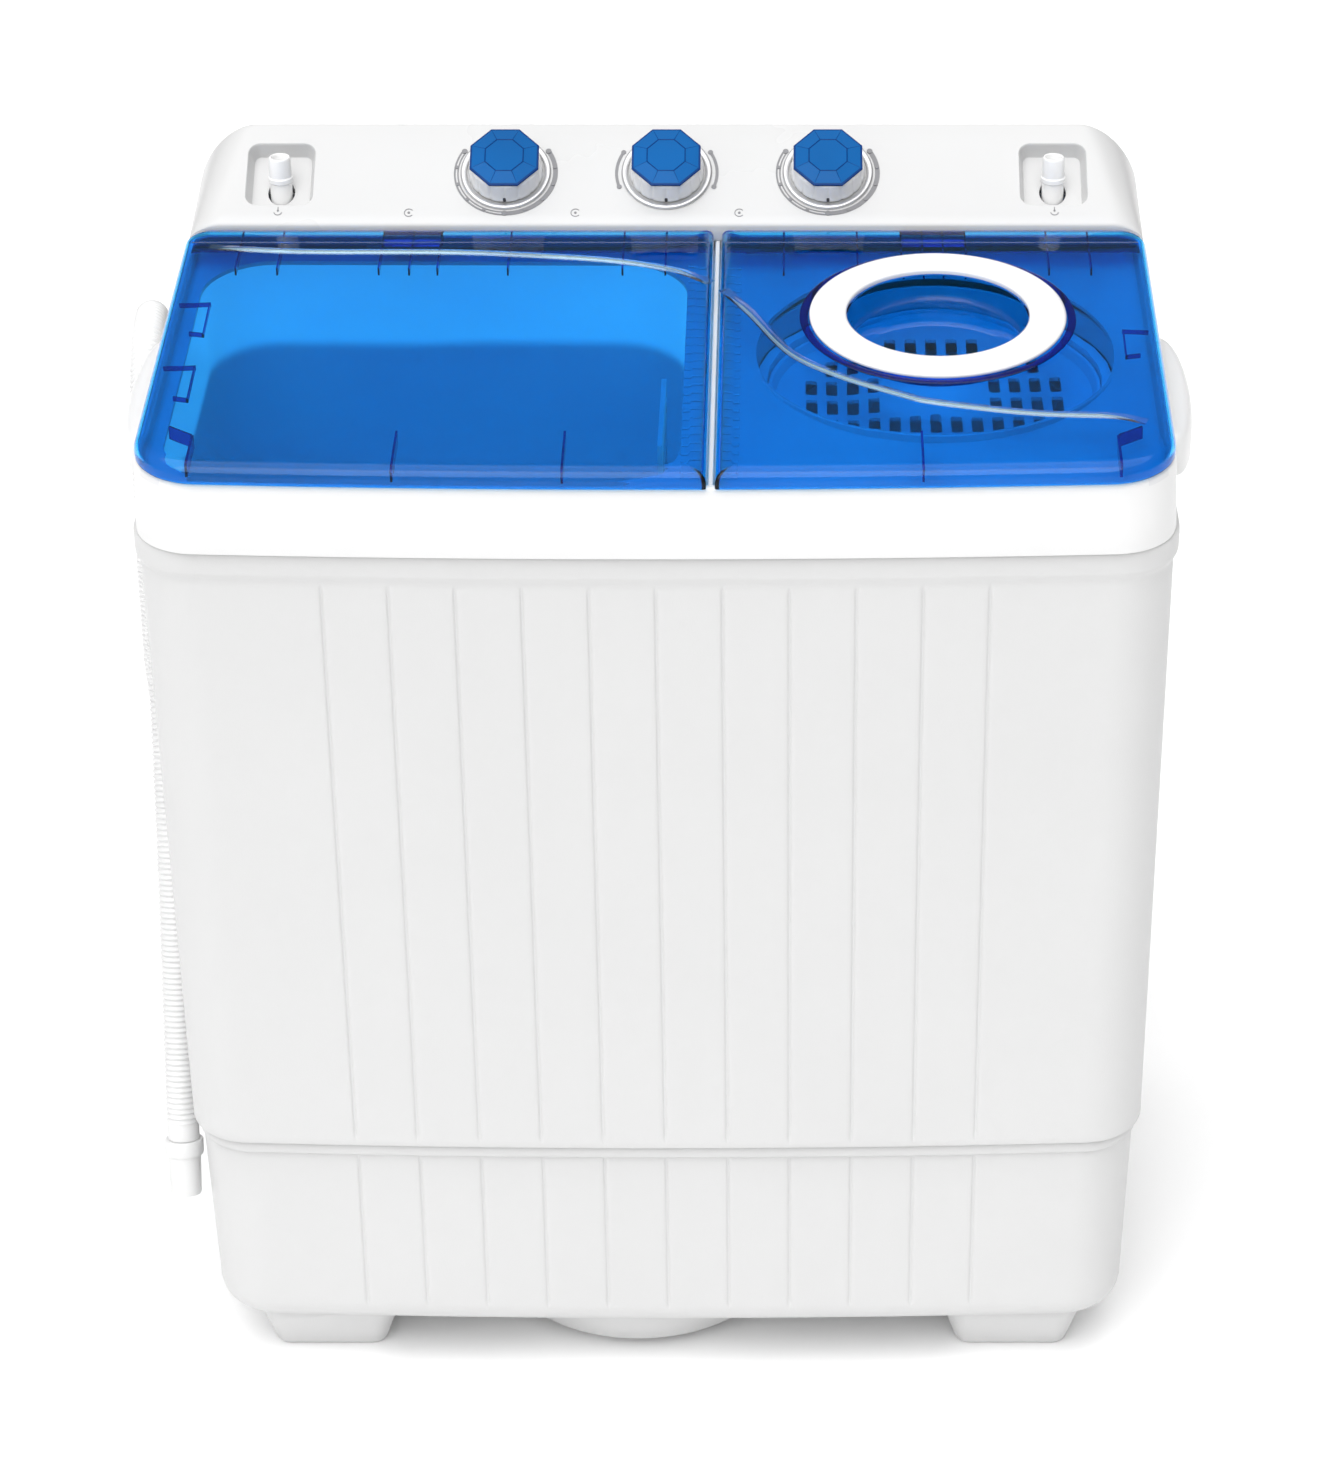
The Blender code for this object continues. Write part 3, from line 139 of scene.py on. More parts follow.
CLEAR = dict(vary=0.04, grain=120.0, bump=0.01, rough_vary=0.012, Transmission_Weight=1.0, IOR=1.32)
CAP = dict(grain=200.0, bump=0.02, IOR=1.18)
SHELL = material("body_white", (0.57, 0.57, 0.57), 0.42, vary=0.008, grain=1100.0, bump=0.25)
COLLAR = material("collar_white", (0.70, 0.70, 0.70), 0.30, vary=0.01, bump=0.03)
PANEL = material("panel_white", (0.545, 0.545, 0.545), 0.28, vary=0.01, bump=0.03)
KNOB = material("knob_white", (0.80, 0.80, 0.80), 0.22, vary=0.01, bump=0.02)
TUB = material("tub_white", (0.93, 0.94, 0.95), 0.35, vary=0.02, grain=500.0, bump=0.05)
RING = material("ring_gloss_white", (0.93, 0.92, 0.91), 0.10, vary=0.01, bump=0.01, Coat_Weight=0.6)
LID_BLUE = material("lid_clear_blue", (0.035, 0.47, 1.0), 0.02, **CLEAR)
STEP_BLUE = material("step_clear_blue", (0.50, 0.82, 1.0), 0.05, **{**CLEAR, "IOR": 1.55})
BAND_BLUE = material("band_clear_blue", (0.06, 0.30, 0.72), 0.05, **CLEAR)
RIB_BLUE = material("rib_clear_blue", (0.012, 0.10, 0.46), 0.05, **CLEAR)
WINDOW_BLUE = material("window_clear_blue", (0.06, 0.45, 0.92), 0.02, **CLEAR)
CAP_BLUE = material("cap_clear_blue", (0.001, 0.090, 0.30), 0.22, vary=0.12, **CAP)
# darker blue for the caps' rims and the ridges on their facet edges: painted shade standing in for the
# dark-looking edges of the clear faceted caps
CAP_EDGE_SHADE = material("cap_edge_painted_shade", (0.002, 0.035, 0.16), 0.22, vary=0.10, **CAP)
SILVER = material("trim_silver", (0.60, 0.60, 0.61), 0.30, Metallic=0.85)
PRINT = material("print_grey", (0.20, 0.20, 0.21), 0.55)
STEEL = material("turned_steel", (0.56, 0.57, 0.59), 0.33, stretch=(1, 1, 14), bump=0.12, Metallic=1.0)
GALVANISED = material("galvanised_sheet", (0.60, 0.62, 0.63), 0.42, vary=0.10, grain=60.0, Metallic=0.9)
MOTOR = material("motor_enamel", (0.05, 0.055, 0.065), 0.45, grain=400.0, Metallic=0.2)
RUBBER = material("black_rubber", (0.022, 0.022, 0.023), 0.72, grain=700.0, bump=0.2)
GREY = material("grey_plastic", (0.30, 0.31, 0.33), 0.5)
DARK = material("dark_plastic", (0.03, 0.03, 0.035), 0.5)
DECK = material("deck_white", (0.64, 0.64, 0.65), 0.30, vary=0.01, bump=0.03)
# inside of the wash tub; make_tubs paints a shadow on its lower walls and an emissive glowing band above them
TUB_INSIDE = material("tub_inside_white", (0.95, 0.96, 0.97), 0.30, vary=0.02, grain=500.0, bump=0.05)
HOSE = material("hose_white", (0.68, 0.68, 0.68), 0.42, grain=700.0)
# what each slot of the record looks like on the CAD's own solids
NODE_MATERIALS = {
    "white_shell": PANEL, "inner_plastic": TUB, "clear_blue": LID_BLUE, "ring_white": RING,
    "knob_blue": CAP_BLUE, "silver_trim": SILVER, "steel": STEEL, "motor_paint": MOTOR,
    "galvanised": GALVANISED, "rubber": RUBBER, "grey_plastic": GREY, "dark_plastic": DARK,
    "hose_plastic": HOSE,
}
for part in frame["record"]["subparts"]:
    finish = DECK if part["node"] == "overflow_filter" else NODE_MATERIALS[part["material_slot"]]
    for place in frame["nodes"][part["node"]].material_slots:
        place.material = finish


# ------------------------------------------------------------ building blocks
def painted_shadow_and_glow(mat, high, low, dark):
    """Painted light and shade on a wall: above high it glows a little by emission, a painted stand-in for the
    light that the lid lets in; below low it takes the given shadow colour, a painted shadow of the mouth's
    front edge.
    """
    nodes, links = mat.node_tree.nodes, mat.node_tree.links
    shader = nodes["Principled BSDF"]
    place = nodes.new("ShaderNodeTexCoord")
    split = nodes.new("ShaderNodeSeparateXYZ")
    links.new(place.outputs["Object"], split.inputs["Vector"])
    share = nodes.new("ShaderNodeMapRange")
    share.interpolation_type = "SMOOTHSTEP"
    share.inputs["From Min"].default_value = low
    share.inputs["From Max"].default_value = high
    links.new(split.outputs["Z"], share.inputs["Value"])
    painted_shadow_mix = nodes.new("ShaderNodeMix")
    painted_shadow_mix.data_type = "RGBA"
    painted_shadow_mix.inputs[6].default_value = (*dark, 1)
    links.new(share.outputs["Result"], painted_shadow_mix.inputs["Factor"])
    links.new(shader.inputs["Base Color"].links[0].from_socket, painted_shadow_mix.inputs[7])
    links.new(painted_shadow_mix.outputs[2], shader.inputs["Base Color"])
    painted_glow = nodes.new("ShaderNodeMapRange")
    painted_glow.inputs["To Max"].default_value = 0.38
    links.new(share.outputs["Result"], painted_glow.inputs["Value"])
    shader.inputs["Emission Color"].default_value = (1, 1, 1, 1)
    links.new(painted_glow.outputs["Result"], shader.inputs["Emission Strength"])


def corner_arc(centre, radius, start, steps):
    """Quarter circle of plan points, from an angle in degrees."""
    angles = [math.radians(start + 90 * i / steps) for i in range(steps + 1)]
    return [(centre[0] + radius * math.cos(a), centre[1] + radius * math.sin(a)) for a in angles]


def swell(x):
    """How far the bowed front lies behind its middle at x."""
    return BOW * (x / BOW_SPAN) ** 2


def front_marks(x_start, x_end, grooves):
    """X places along a bowed front, with how deep each one is cut."""
    if grooves is None:
        return [(x_start + (x_end - x_start) * i / 32, 0.0) for i in range(1, 32)]
    marks = []
    reach = (GROOVE_COUNT - 1) / 2 * GROOVE_PITCH + GROOVE_WIDTH
    marks += [(x_start + (-reach - x_start) * share, 0.0) for share in (0.2, 0.4, 0.6, 0.8, 1.0)]
    for k in range(GROOVE_COUNT):
        x = (k - (GROOVE_COUNT - 1) / 2) * GROOVE_PITCH
        for across, share in GROOVE_SHAPE:
            marks.append((x + across * GROOVE_WIDTH, share * grooves))
        if k < GROOVE_COUNT - 1:
            for share in (0.1, 0.5, 0.9):
                marks.append((x + GROOVE_PITCH * share, 0.0))
    marks += [(reach + (x_end - reach) * share, 0.0) for share in (0.0, 0.2, 0.4, 0.6, 0.8)]
    return marks


def outline(x0, x1, y0, y1, radii, inset=0.0, bowed=False, grooves=None, steps=14):
    """Rounded rectangle, anticlockwise from the front left corner; radii go the same way."""
    x0, x1, y0, y1 = x0 + inset, x1 - inset, y0 + inset, y1 - inset
    fl, fr, br, bl = [max(r - inset, 0.0015) for r in radii]
    front_left = corner_arc((x0 + fl, y0 + fl), fl, 180, steps)
    front_right = corner_arc((x1 - fr, y0 + fr), fr, 270, steps)
    middle = []
    if bowed:
        front_left = [(x, y + swell(x0 + fl)) for x, y in front_left]
        front_right = [(x, y + swell(x1 - fr)) for x, y in front_right]
        middle = [(x, y0 + swell(x) + notch) for x, notch in front_marks(x0 + fl, x1 - fr, grooves)]
    points = front_left + middle + front_right
    points += corner_arc((x1 - br, y1 - br), br, 0, steps)
    points += corner_arc((x0 + bl, y1 - bl), bl, 90, steps)
    return points


def level(points, z):
    """Plan points lifted to a height, or to a height that depends on y."""
    return [Vector((x, y, z(y) if callable(z) else z)) for x, y in points]


def loft(loops, ring=False):
    """Skin loops of equal length; a ring joins the last to the first, else both ends are capped."""
    bm = bmesh.new()
    rows = [[bm.verts.new(p) for p in loop] for loop in loops]
    pairs = list(zip(rows, rows[1:]))
    if ring:
        pairs.append((rows[-1], rows[0]))
    for a, b in pairs:
        for i in range(len(a)):
            j = (i + 1) % len(a)
            bm.faces.new((a[i], a[j], b[j], b[i]))
    if not ring:
        bm.faces.new(rows[0])
        bm.faces.new(rows[-1])
    return bm


def turned(profile, steps=64, centre=(0.0, 0.0), wave=None):
    """Solid of revolution from (radius, height) points; wave(angle, row) may scale each radius."""
    bm = bmesh.new()
    rows = []
    for n, (radius, height) in enumerate(profile):
        if radius == 0:
            rows.append([bm.verts.new((centre[0], centre[1], height))] * steps)
            continue
        row = []
        for i in range(steps):
            a = 2 * math.pi * i / steps
            r = radius * (wave(a, n) if wave else 1.0)
            row.append(bm.verts.new((centre[0] + r * math.cos(a), centre[1] + r * math.sin(a), height)))
        rows.append(row)
    pairs = list(zip(rows, rows[1:]))
    if profile[0][0] != 0:
        pairs.append((rows[-1], rows[0]))
    for a, b in pairs:
        for i in range(steps):
            j = (i + 1) % steps
            corners = []
            for v in (a[i], a[j], b[j], b[i]):
                if v not in corners:
                    corners.append(v)
            bm.faces.new(corners)
    return bm


def block(low, high, bevel=0.0, segments=2):
    """Box between two corners, with its edges rounded by the bevel."""
    bm = bmesh.new()
    bmesh.ops.create_cube(bm, size=1.0)
    bmesh.ops.scale(bm, vec=Vector(high) - Vector(low), verts=bm.verts)
    bmesh.ops.translate(bm, vec=(Vector(high) + Vector(low)) / 2, verts=bm.verts)
    if bevel:
        bmesh.ops.bevel(bm, geom=bm.edges[:], offset=bevel, segments=segments, affect="EDGES", profile=0.5)
    return bm


def join(parts):
    """One mesh out of several, which are used up."""
    whole = bmesh.new()
    for bm in parts:
        mesh = bpy.data.meshes.new("part")
        bm.to_mesh(mesh)
        bm.free()
        whole.from_mesh(mesh)
        bpy.data.meshes.remove(mesh)
    return whole


def moved(bm, matrix):
    bmesh.ops.transform(bm, matrix=matrix, verts=bm.verts)
    return bm


def drilled(radius, z0, z1, steps=SMALL, centre=(0.0, 0.0)):
    """Plain cylinder, mostly a guide for a round hole."""
    return turned([(0, z0), (radius, z0), (radius, z1), (0, z1)], steps, centre)


def mesh_object(name, bm, mat, sharp=35):
    bmesh.ops.recalc_face_normals(bm, faces=bm.faces)
    mesh = bpy.data.meshes.new(name)
    bm.to_mesh(mesh)
    bm.free()
    mesh.materials.append(mat)
    mesh.shade_smooth()
    mesh.set_sharp_from_angle(angle=math.radians(sharp))
    obj = bpy.data.objects.new(name, mesh)
    bpy.context.scene.collection.objects.link(obj)
    return obj


def combine(obj, mat, sharp, adds=(), cuts=()):
    """Add guides to a mesh, then cut others from it, for good."""
    for operation, guides in (("UNION", adds), ("DIFFERENCE", cuts)):
        for guide in guides:
            tool = mesh_object("tool", guide, mat)
            mod = obj.modifiers.new(operation, "BOOLEAN")
            mod.operation, mod.solver, mod.object = operation, "EXACT", tool
            done = bpy.data.meshes.new_from_object(obj.evaluated_get(bpy.context.evaluated_depsgraph_get()))
            obj.modifiers.clear()
            obj.data = done
            bpy.data.objects.remove(tool)
    if cuts or adds:
        obj.data.shade_smooth()
        obj.data.set_sharp_from_angle(angle=math.radians(sharp))


def piece(name, bm, mat, body, replaces=(), sharp=35, cuts=(), adds=()):
    """A finished piece that rides on a CAD body."""
    obj = mesh_object(name, bm, mat, sharp)
    combine(obj, mat, sharp, adds, cuts)
    obj.data.name = name
    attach(obj, body)
    if replaces:
        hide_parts(*replaces)
    return obj


def tilted(offset=0.0):
    """Height over y of a plane that leans with the lids, offset from the rim."""
    return lambda y: RIM_FRONT_Z + (y - FRAME_FRONT_Y) * math.tan(TILT) + offset


def smooth_route(points, spacing):
    """Points at an even spacing along a Catmull-Rom curve through the route."""
    ends = [Vector(points[0]) * 2 - Vector(points[1])] + [Vector(p) for p in points]
    ends.append(ends[-1] * 2 - ends[-2])
    fine = []
    for i in range(1, len(ends) - 2):
        p0, p1, p2, p3 = ends[i - 1:i + 3]
        for s in range(60):
            t = s / 60
            fine.append(0.5 * ((2 * p1) + (p2 - p0) * t + (2 * p0 - 5 * p1 + 4 * p2 - p3) * t * t
                               + (3 * p1 - p0 - 3 * p2 + p3) * t ** 3))
    fine.append(ends[-2])
    lengths = [0.0]
    for a, b in zip(fine, fine[1:]):
        lengths.append(lengths[-1] + (b - a).length)
    count = max(2, round(lengths[-1] / spacing))
    out, k = [], 0
    for i in range(count + 1):
        want = lengths[-1] * i / count
        while k < len(fine) - 2 and lengths[k + 1] < want:
            k += 1
        share = (want - lengths[k]) / max(lengths[k + 1] - lengths[k], 1e-9)
        out.append(fine[k].lerp(fine[k + 1], min(max(share, 0), 1)))
    return out


def swept(points, section, up=Vector((0, 0, 1)), turns=None):
    """Sweep rings of (side, lift) points along a path; section is a list, or a function of the row."""
    loops = []
    side = None
    for i, p in enumerate(points):
        heading = (points[min(i + 1, len(points) - 1)] - points[max(i - 1, 0)]).normalized()
        if turns and side is not None:
            side = (side - heading * side.dot(heading)).normalized()
        else:
            side = heading.cross(up).normalized()
        lift = side.cross(heading)
        ring = section(i) if callable(section) else section
        loops.append([p + side * a + lift * b for a, b in ring])
    return loft(loops)


# ------------------------------------------------------------ casing
PLAN_CORNERS = (CORNER_FRONT, CORNER_FRONT, CORNER_BACK, CORNER_BACK)


def casing_loop(half, z, inset=0.0, out=0.0, grooves=0.0, front=FRONT_Y, back=BACK_Y):
    """Plan of the casing at one height; out widens it at the front and the sides."""
    return level(outline(-half - out, half + out, front - out, back, PLAN_CORNERS, inset, True, grooves), z)


def make_cabinet():
    """Grooved sleeve with the lip that carries the collar."""
    low, high, deep = BODY_FOOT_HALF, BODY_HALF, GROOVE_DEPTH
    loops = [
        casing_loop(low, STEP_Z + 0.0003, WALL), casing_loop(low, STEP_Z + 0.0003, 0.0012),
        casing_loop(low, STEP_Z + 0.0009, 0.0004), casing_loop(low, STEP_Z + 0.0018),
        casing_loop(low, STEP_Z + 0.0070), casing_loop(low, STEP_Z + 0.0100, 0, 0, deep * 0.8),
        casing_loop(low, STEP_Z + 0.0130, 0, 0, deep), casing_loop(high, 0.6810, 0, 0, deep),
        casing_loop(high, 0.6840, 0, 0, deep * 0.5), casing_loop(high, 0.6870),
        casing_loop(high, 0.6905, 0, LIP_OUT * 0.35), casing_loop(high, 0.6935, 0, LIP_OUT * 0.85),
        casing_loop(high, 0.6960, 0, LIP_OUT), casing_loop(high, 0.7090, 0, LIP_OUT),
        casing_loop(high, 0.7106, 0.0002, LIP_OUT), casing_loop(high, 0.7115, 0.0007, LIP_OUT),
        casing_loop(high, SEAM_Z, 0.0016, LIP_OUT), casing_loop(high, SEAM_Z, WALL + 0.001, LIP_OUT),
        casing_loop(high, 0.6870, WALL + 0.001),
    ]
    window = block((-0.285, BACK_Y - 0.02, 0.262), (0.285, BACK_Y + 0.02, 0.650))
    piece("cabinet_shell", loft(loops, ring=True), SHELL, "body", ["cabinet"], 50,
          cuts=[window])


def foot(side, end):
    """A tapered foot with rounded corners; side is -1 for left, end is -1 for front."""
    x_in, x_out = 0.2060, 0.3170
    y_mid = end * 0.140 + (0.003 if end < 0 else -0.003)
    low, high = sorted((side * x_in, side * x_out))
    sections = []
    for z, shrink in ((0.0, 0.0165), (0.0012, 0.0142), (0.004, 0.0122), (0.030, 0.0035),
                      (FLOOR_Z + 0.003, 0.0)):
        pts = outline(low, high, y_mid - 0.045, y_mid + 0.045, (0.024,) * 4, shrink, steps=8)
        sections.append(level(pts, z))
    return loft(sections)


def make_base():
    """Tray under the sleeve, with its rim, feet and the round well under the belt drive."""
    half, rim, deep = BASE_FOOT_HALF, BASE_HALF + 0.002, GROOVE_DEPTH
    rim_y = FRONT_Y + 0.005

    def loop(w, z, inset=0.0, grooves=0.0, front=FRONT_Y + 0.009):
        return casing_loop(w, z, inset, 0.0, grooves, front, BACK_Y - 0.003)

    loops = [
        loop(half, FLOOR_Z + WALL, 0.022), loop(half, FLOOR_Z + 0.010, WALL + 0.003),
        loop(rim, STEP_Z - 0.0002, WALL + 0.002, 0, rim_y), loop(rim, STEP_Z - 0.0002, 0.0010, 0, rim_y),
        loop(rim, STEP_Z - 0.0012, 0, 0, rim_y), loop(rim, 0.2075, 0, 0, rim_y),
        loop(rim, 0.2062, 0.0006, 0, rim_y), loop(BASE_HALF, 0.2052), loop(BASE_HALF, 0.2030),
        loop(BASE_HALF, 0.1995, 0, deep), loop(half, 0.0700, 0, deep), loop(half, 0.0665, 0, deep * 0.5),
        loop(half, 0.0640), loop(half, 0.0590, 0.0008), loop(half, 0.0550, 0.0022),
        loop(half, 0.0505, 0.0052), loop(half, 0.0465, 0.0096), loop(half, 0.0430, 0.0150),
        loop(half, 0.0410, 0.0190), loop(half, FLOOR_Z, 0.0240),
    ]
    well = turned([(0, 0.0082), (0.1040, 0.0082), (0.1085, 0.0095), (0.1130, 0.013), (0.1205, 0.048),
                   (0, 0.048)], ROUND, WELL_CENTRE)
    hollow = turned([(0, 0.0112), (0.104, 0.0112), (0.1105, 0.015), (0.1175, 0.052), (0, 0.052)], ROUND,
                    WELL_CENTRE)
    feet = join([foot(sx, sy) for sx in (-1, 1) for sy in (-1, 1)])
    piece("base_tray", loft(loops), SHELL, "body", ["base"], 50, adds=[feet, well],
          cuts=[hollow])


def make_collar():
    """Rim and deck that the lids close on, with the ribbed strips and the rail between the two sides."""

    def loop(inset, z, out=0.0):
        half = FRAME_HALF + out
        return level(outline(-half, half, FRAME_FRONT_Y - out, FRAME_BACK_Y, PLAN_CORNERS, inset, True), z)

    bottom = SEAM_Z + SEAM_GAP
    loops = [
        loop(WALL, tilted(-DECK_DROP - WALL)), loop(WALL, bottom, 0.002), loop(0.0012, bottom, 0.002),
        loop(0.0003, bottom + 0.0005, 0.002), loop(0.0, bottom + 0.0014, 0.002),
        loop(0.0, bottom + 0.020, 0.0012), loop(0.0, tilted(-0.0060)), loop(0.0004, tilted(-0.0030)),
        loop(0.0012, tilted(-0.0009)), loop(0.0024, tilted(-0.0001)), loop(0.0050, tilted(-0.0001)),
        loop(0.0060, tilted(-0.0010)), loop(0.0066, tilted(-DECK_DROP + 0.0010)),
        loop(0.0078, tilted(-DECK_DROP)),
    ]
    skirt_foot = SPIN_NECK_Z + 0.0004
    skirt = turned([(0.1290, skirt_foot), (0.1290, 0.7655), (0.1285, 0.7660), (0.1267, 0.7660),
                    (MOUTH_RADIUS, 0.7655), (MOUTH_RADIUS, skirt_foot)], ROUND, SPIN_CENTRE)
    mouth = outline(*WASH_X, *WASH_Y, (0.050,) * 4, steps=14)
    cuts = [loft([level(mouth, 0.70), level(mouth, 0.80)])]
    cuts.append(drilled(MOUTH_RADIUS, 0.70, 0.80, ROUND, SPIN_CENTRE))
    cuts.append(block((-0.220, 0.150, 0.74), (0.220, 0.212, 0.81)))
    for side in (-1, 1):
        cuts.append(drilled(INLET_HOLE, 0.74, 0.82, SMALL, (side * INLET_X, INLET_Y)))
    collar = piece("top_collar", loft(loops), COLLAR, "body", ["top_frame"], 40, adds=[skirt],
                   cuts=cuts)
    collar.data.materials.append(DECK)
    for face in collar.data.polygons:
        x, y, z = face.center
        inside = abs(x) < FRAME_HALF - 0.0075 and y > FRAME_FRONT_Y + 0.0070 + swell(x)
        if inside and z < tilted(-0.0010)(y) and z > tilted(-DECK_DROP - 0.0012)(y):
            face.material_index = 1
    strips = []
    y0, y1, last = -0.190, 0.112, 26
    for x0, x1 in ((0.0170, 0.0338), (0.0440, 0.0560)):
        for k in range(last + 1):
            y = y0 + k * (y1 - y0) / last
            z = tilted(-DECK_DROP)(y)
            strips.append(block((x0, y - 0.0022, z - 0.0002), (x1, y + 0.0022, z + 0.0011), 0.0006, 1))
    piece("deck_ribs", join(strips), DECK, "body")
    rail = [Vector((LID_SPLIT, y, tilted(0.0010)(y))) for y in (-0.2150, -0.10, 0.0, 0.10, 0.1385)]
    section = [(-0.0018, -0.0095), (0.0018, -0.0095), (0.0018, -0.0010), (0.0012, -0.0003),
               (-0.0012, -0.0003), (-0.0018, -0.0010)]
    piece("divider_rail", swept(rail, section), COLLAR, "body")


def make_handle(name, node, side):
    """Grip cup on the collar's side, bowed in plan and open underneath."""
    x_wall, y_mid = FRAME_HALF + 0.0024, -0.040

    def loop(reach, length, z, back=0.0):
        pts = []
        for i in range(41):
            a = math.pi * i / 40
            out = x_wall + back + (reach - back) * math.sin(a) ** 0.8
            pts.append(Vector((side * out, y_mid - length * math.cos(a), z)))
        return pts

    loops = [
        loop(0.0130, 0.0700, 0.7510, 0.0020), loop(0.0155, 0.0770, 0.7262, 0.0020),
        loop(0.0168, 0.0800, 0.7258), loop(0.0177, 0.0838, 0.7262), loop(0.0180, 0.0850, 0.7275),
        loop(0.0180, 0.0850, 0.7460), loop(0.0176, 0.0842, 0.7500), loop(0.0163, 0.0824, 0.7530),
        loop(0.0138, 0.0795, 0.7548), loop(0.0100, 0.0755, 0.7556),
    ]
    piece(name, loft(loops), COLLAR, "body", [node], 40)


def panel_height(y):
    """Top of the sloping panel at y."""
    return PANEL_FRONT_Z + (y - PANEL_FRONT_Y + 0.001) * math.tan(PANEL_SLOPE)


def panel_section(y, inset=0.0, drop=0.0, floor=None):
    """Upright section across the panel at y, with rounded shoulders."""
    t = (y - PANEL_FRONT_Y) / (PANEL_BACK_Y - PANEL_FRONT_Y)
    top = panel_height(y) - drop - inset
    edge, side, cheek_z = 0.330 - 0.022 * t, 0.3525 - inset, 0.787 + 0.008 * t
    bottom = floor if floor is not None else tilted(SEAM_GAP)(y)
    right = [(side, bottom)]
    for i in range(19):
        a = math.pi / 2 * i / 18
        rise, run = math.sin(a) ** 1.15, math.cos(a) ** 1.15
        right.append((edge - inset + (side - edge + inset) * run, cheek_z + (top - cheek_z) * rise))
    left = [(-x, z) for x, z in reversed(right)]
    return [Vector((x, y, z)) for x, z in right + left]


def panel_frame(x, y):
    """Matrix whose Z leaves the sloping panel at right angles at (x, y)."""
    return Matrix.Translation((x, y, panel_height(y))) @ Matrix.Rotation(PANEL_SLOPE, 4, "X")


def make_panel():
    """Hollow control housing with a pocket round each filling pipe."""
    rows = [(PANEL_FRONT_Y, 0.0016), (PANEL_FRONT_Y + 0.0005, 0.0008), (PANEL_FRONT_Y + 0.0015, 0.0),
            (0.150, 0.0), (0.165, 0.0)]
    rows += [(0.180, 0.0), (0.200, 0.0), (PANEL_BACK_Y - 0.005, 0.0), (PANEL_BACK_Y - 0.0030, 0.0006)]
    rows += [(PANEL_BACK_Y - 0.0014, 0.0019), (PANEL_BACK_Y - 0.0004, 0.0036), (PANEL_BACK_Y, 0.0056)]
    adds, cuts = [], []
    depths = (PANEL_FRONT_Y + 0.0025, 0.165, 0.190, PANEL_BACK_Y - 0.0035)
    hollow = loft([panel_section(y, 0.0025, 0.0, 0.74) for y in depths])
    for side in (-1, 1):
        place = panel_frame(side * INLET_X, INLET_Y)
        wall = outline(-0.0275, 0.0275, -0.0305, 0.0305, (0.010,) * 4, steps=8)
        adds.append(moved(loft([level(wall, z) for z in (-0.0150, -0.0010)]), place))
        loops = []
        for inset, z in ((0.0058, -0.0128), (0.0042, -0.0124), (0.0034, -0.0112), (0.0012, -0.0015),
                         (0.0008, -0.0006), (0.0, 0.0002), (0.0, 0.02)):
            loops.append(level(outline(-0.0255, 0.0255, -0.0285, 0.0285, (0.0095,) * 4, inset, steps=8), z))
        cuts.append(moved(loft(loops), place))
        hole = drilled(INLET_HOLE, -0.06, 0.06)
        cuts.append(moved(hole, Matrix.Translation((side * INLET_X, INLET_Y, panel_height(INLET_Y)))))
    for k in (-1, 0, 1):
        hole = drilled(SPINDLE_HOLE, -0.03, 0.03, 24)
        cuts.append(moved(hole, panel_frame(k * KNOB_PITCH, KNOB_Y)))
    panel = loft([panel_section(y, 0.0, drop) for y, drop in rows])
    # the housing is hollowed first, so that the pockets keep their walls
    housing = piece("control_housing", panel, PANEL, "body", ["control_panel"], 28,
                    cuts=[hollow])
    combine(housing, PANEL, 28, adds, cuts)
    for side, name, node in ((-1, "wash_inlet_pipe", "wash_inlet_spout"),
                             (1, "spin_inlet_pipe", "spin_inlet_spout")):
        top, bottom = panel_height(INLET_Y) + 0.0138, tilted()(INLET_Y) - 0.019
        flange = panel_height(INLET_Y) - 0.0020
        profile = [
            (0.0082, bottom), (0.0082, flange - 0.004), (0.0092, flange - 0.003), (0.0092, flange),
            (0.0084, flange + 0.001), (0.0080, top - 0.0015), (0.0078, top - 0.0006), (0.0074, top),
            (0.0064, top), (0.0060, top - 0.0006), (0.0060, bottom),
        ]
        piece(name, turned(profile, 48, (side * INLET_X, INLET_Y)), KNOB, "body", [node])


# ------------------------------------------------------------ knobs and dials
def arc_strip(r0, r1, start, end, lift, steps=60):
    """Flat printed band, a hair above the panel, between two angles in degrees."""
    loops, section = [], ((r0, 0.00005), (r1, 0.00005), (r1, lift), (r0, lift))
    for i in range(steps + 1):
        a = math.radians(start + (end - start) * i / steps)
        loops.append([Vector((r * math.cos(a), r * math.sin(a), z)) for r, z in section])
    return loft(loops)


def dot(x, y, r, lift):
    """Round printed spot."""
    return drilled(r, 0.00005, lift, 20, (x, y))


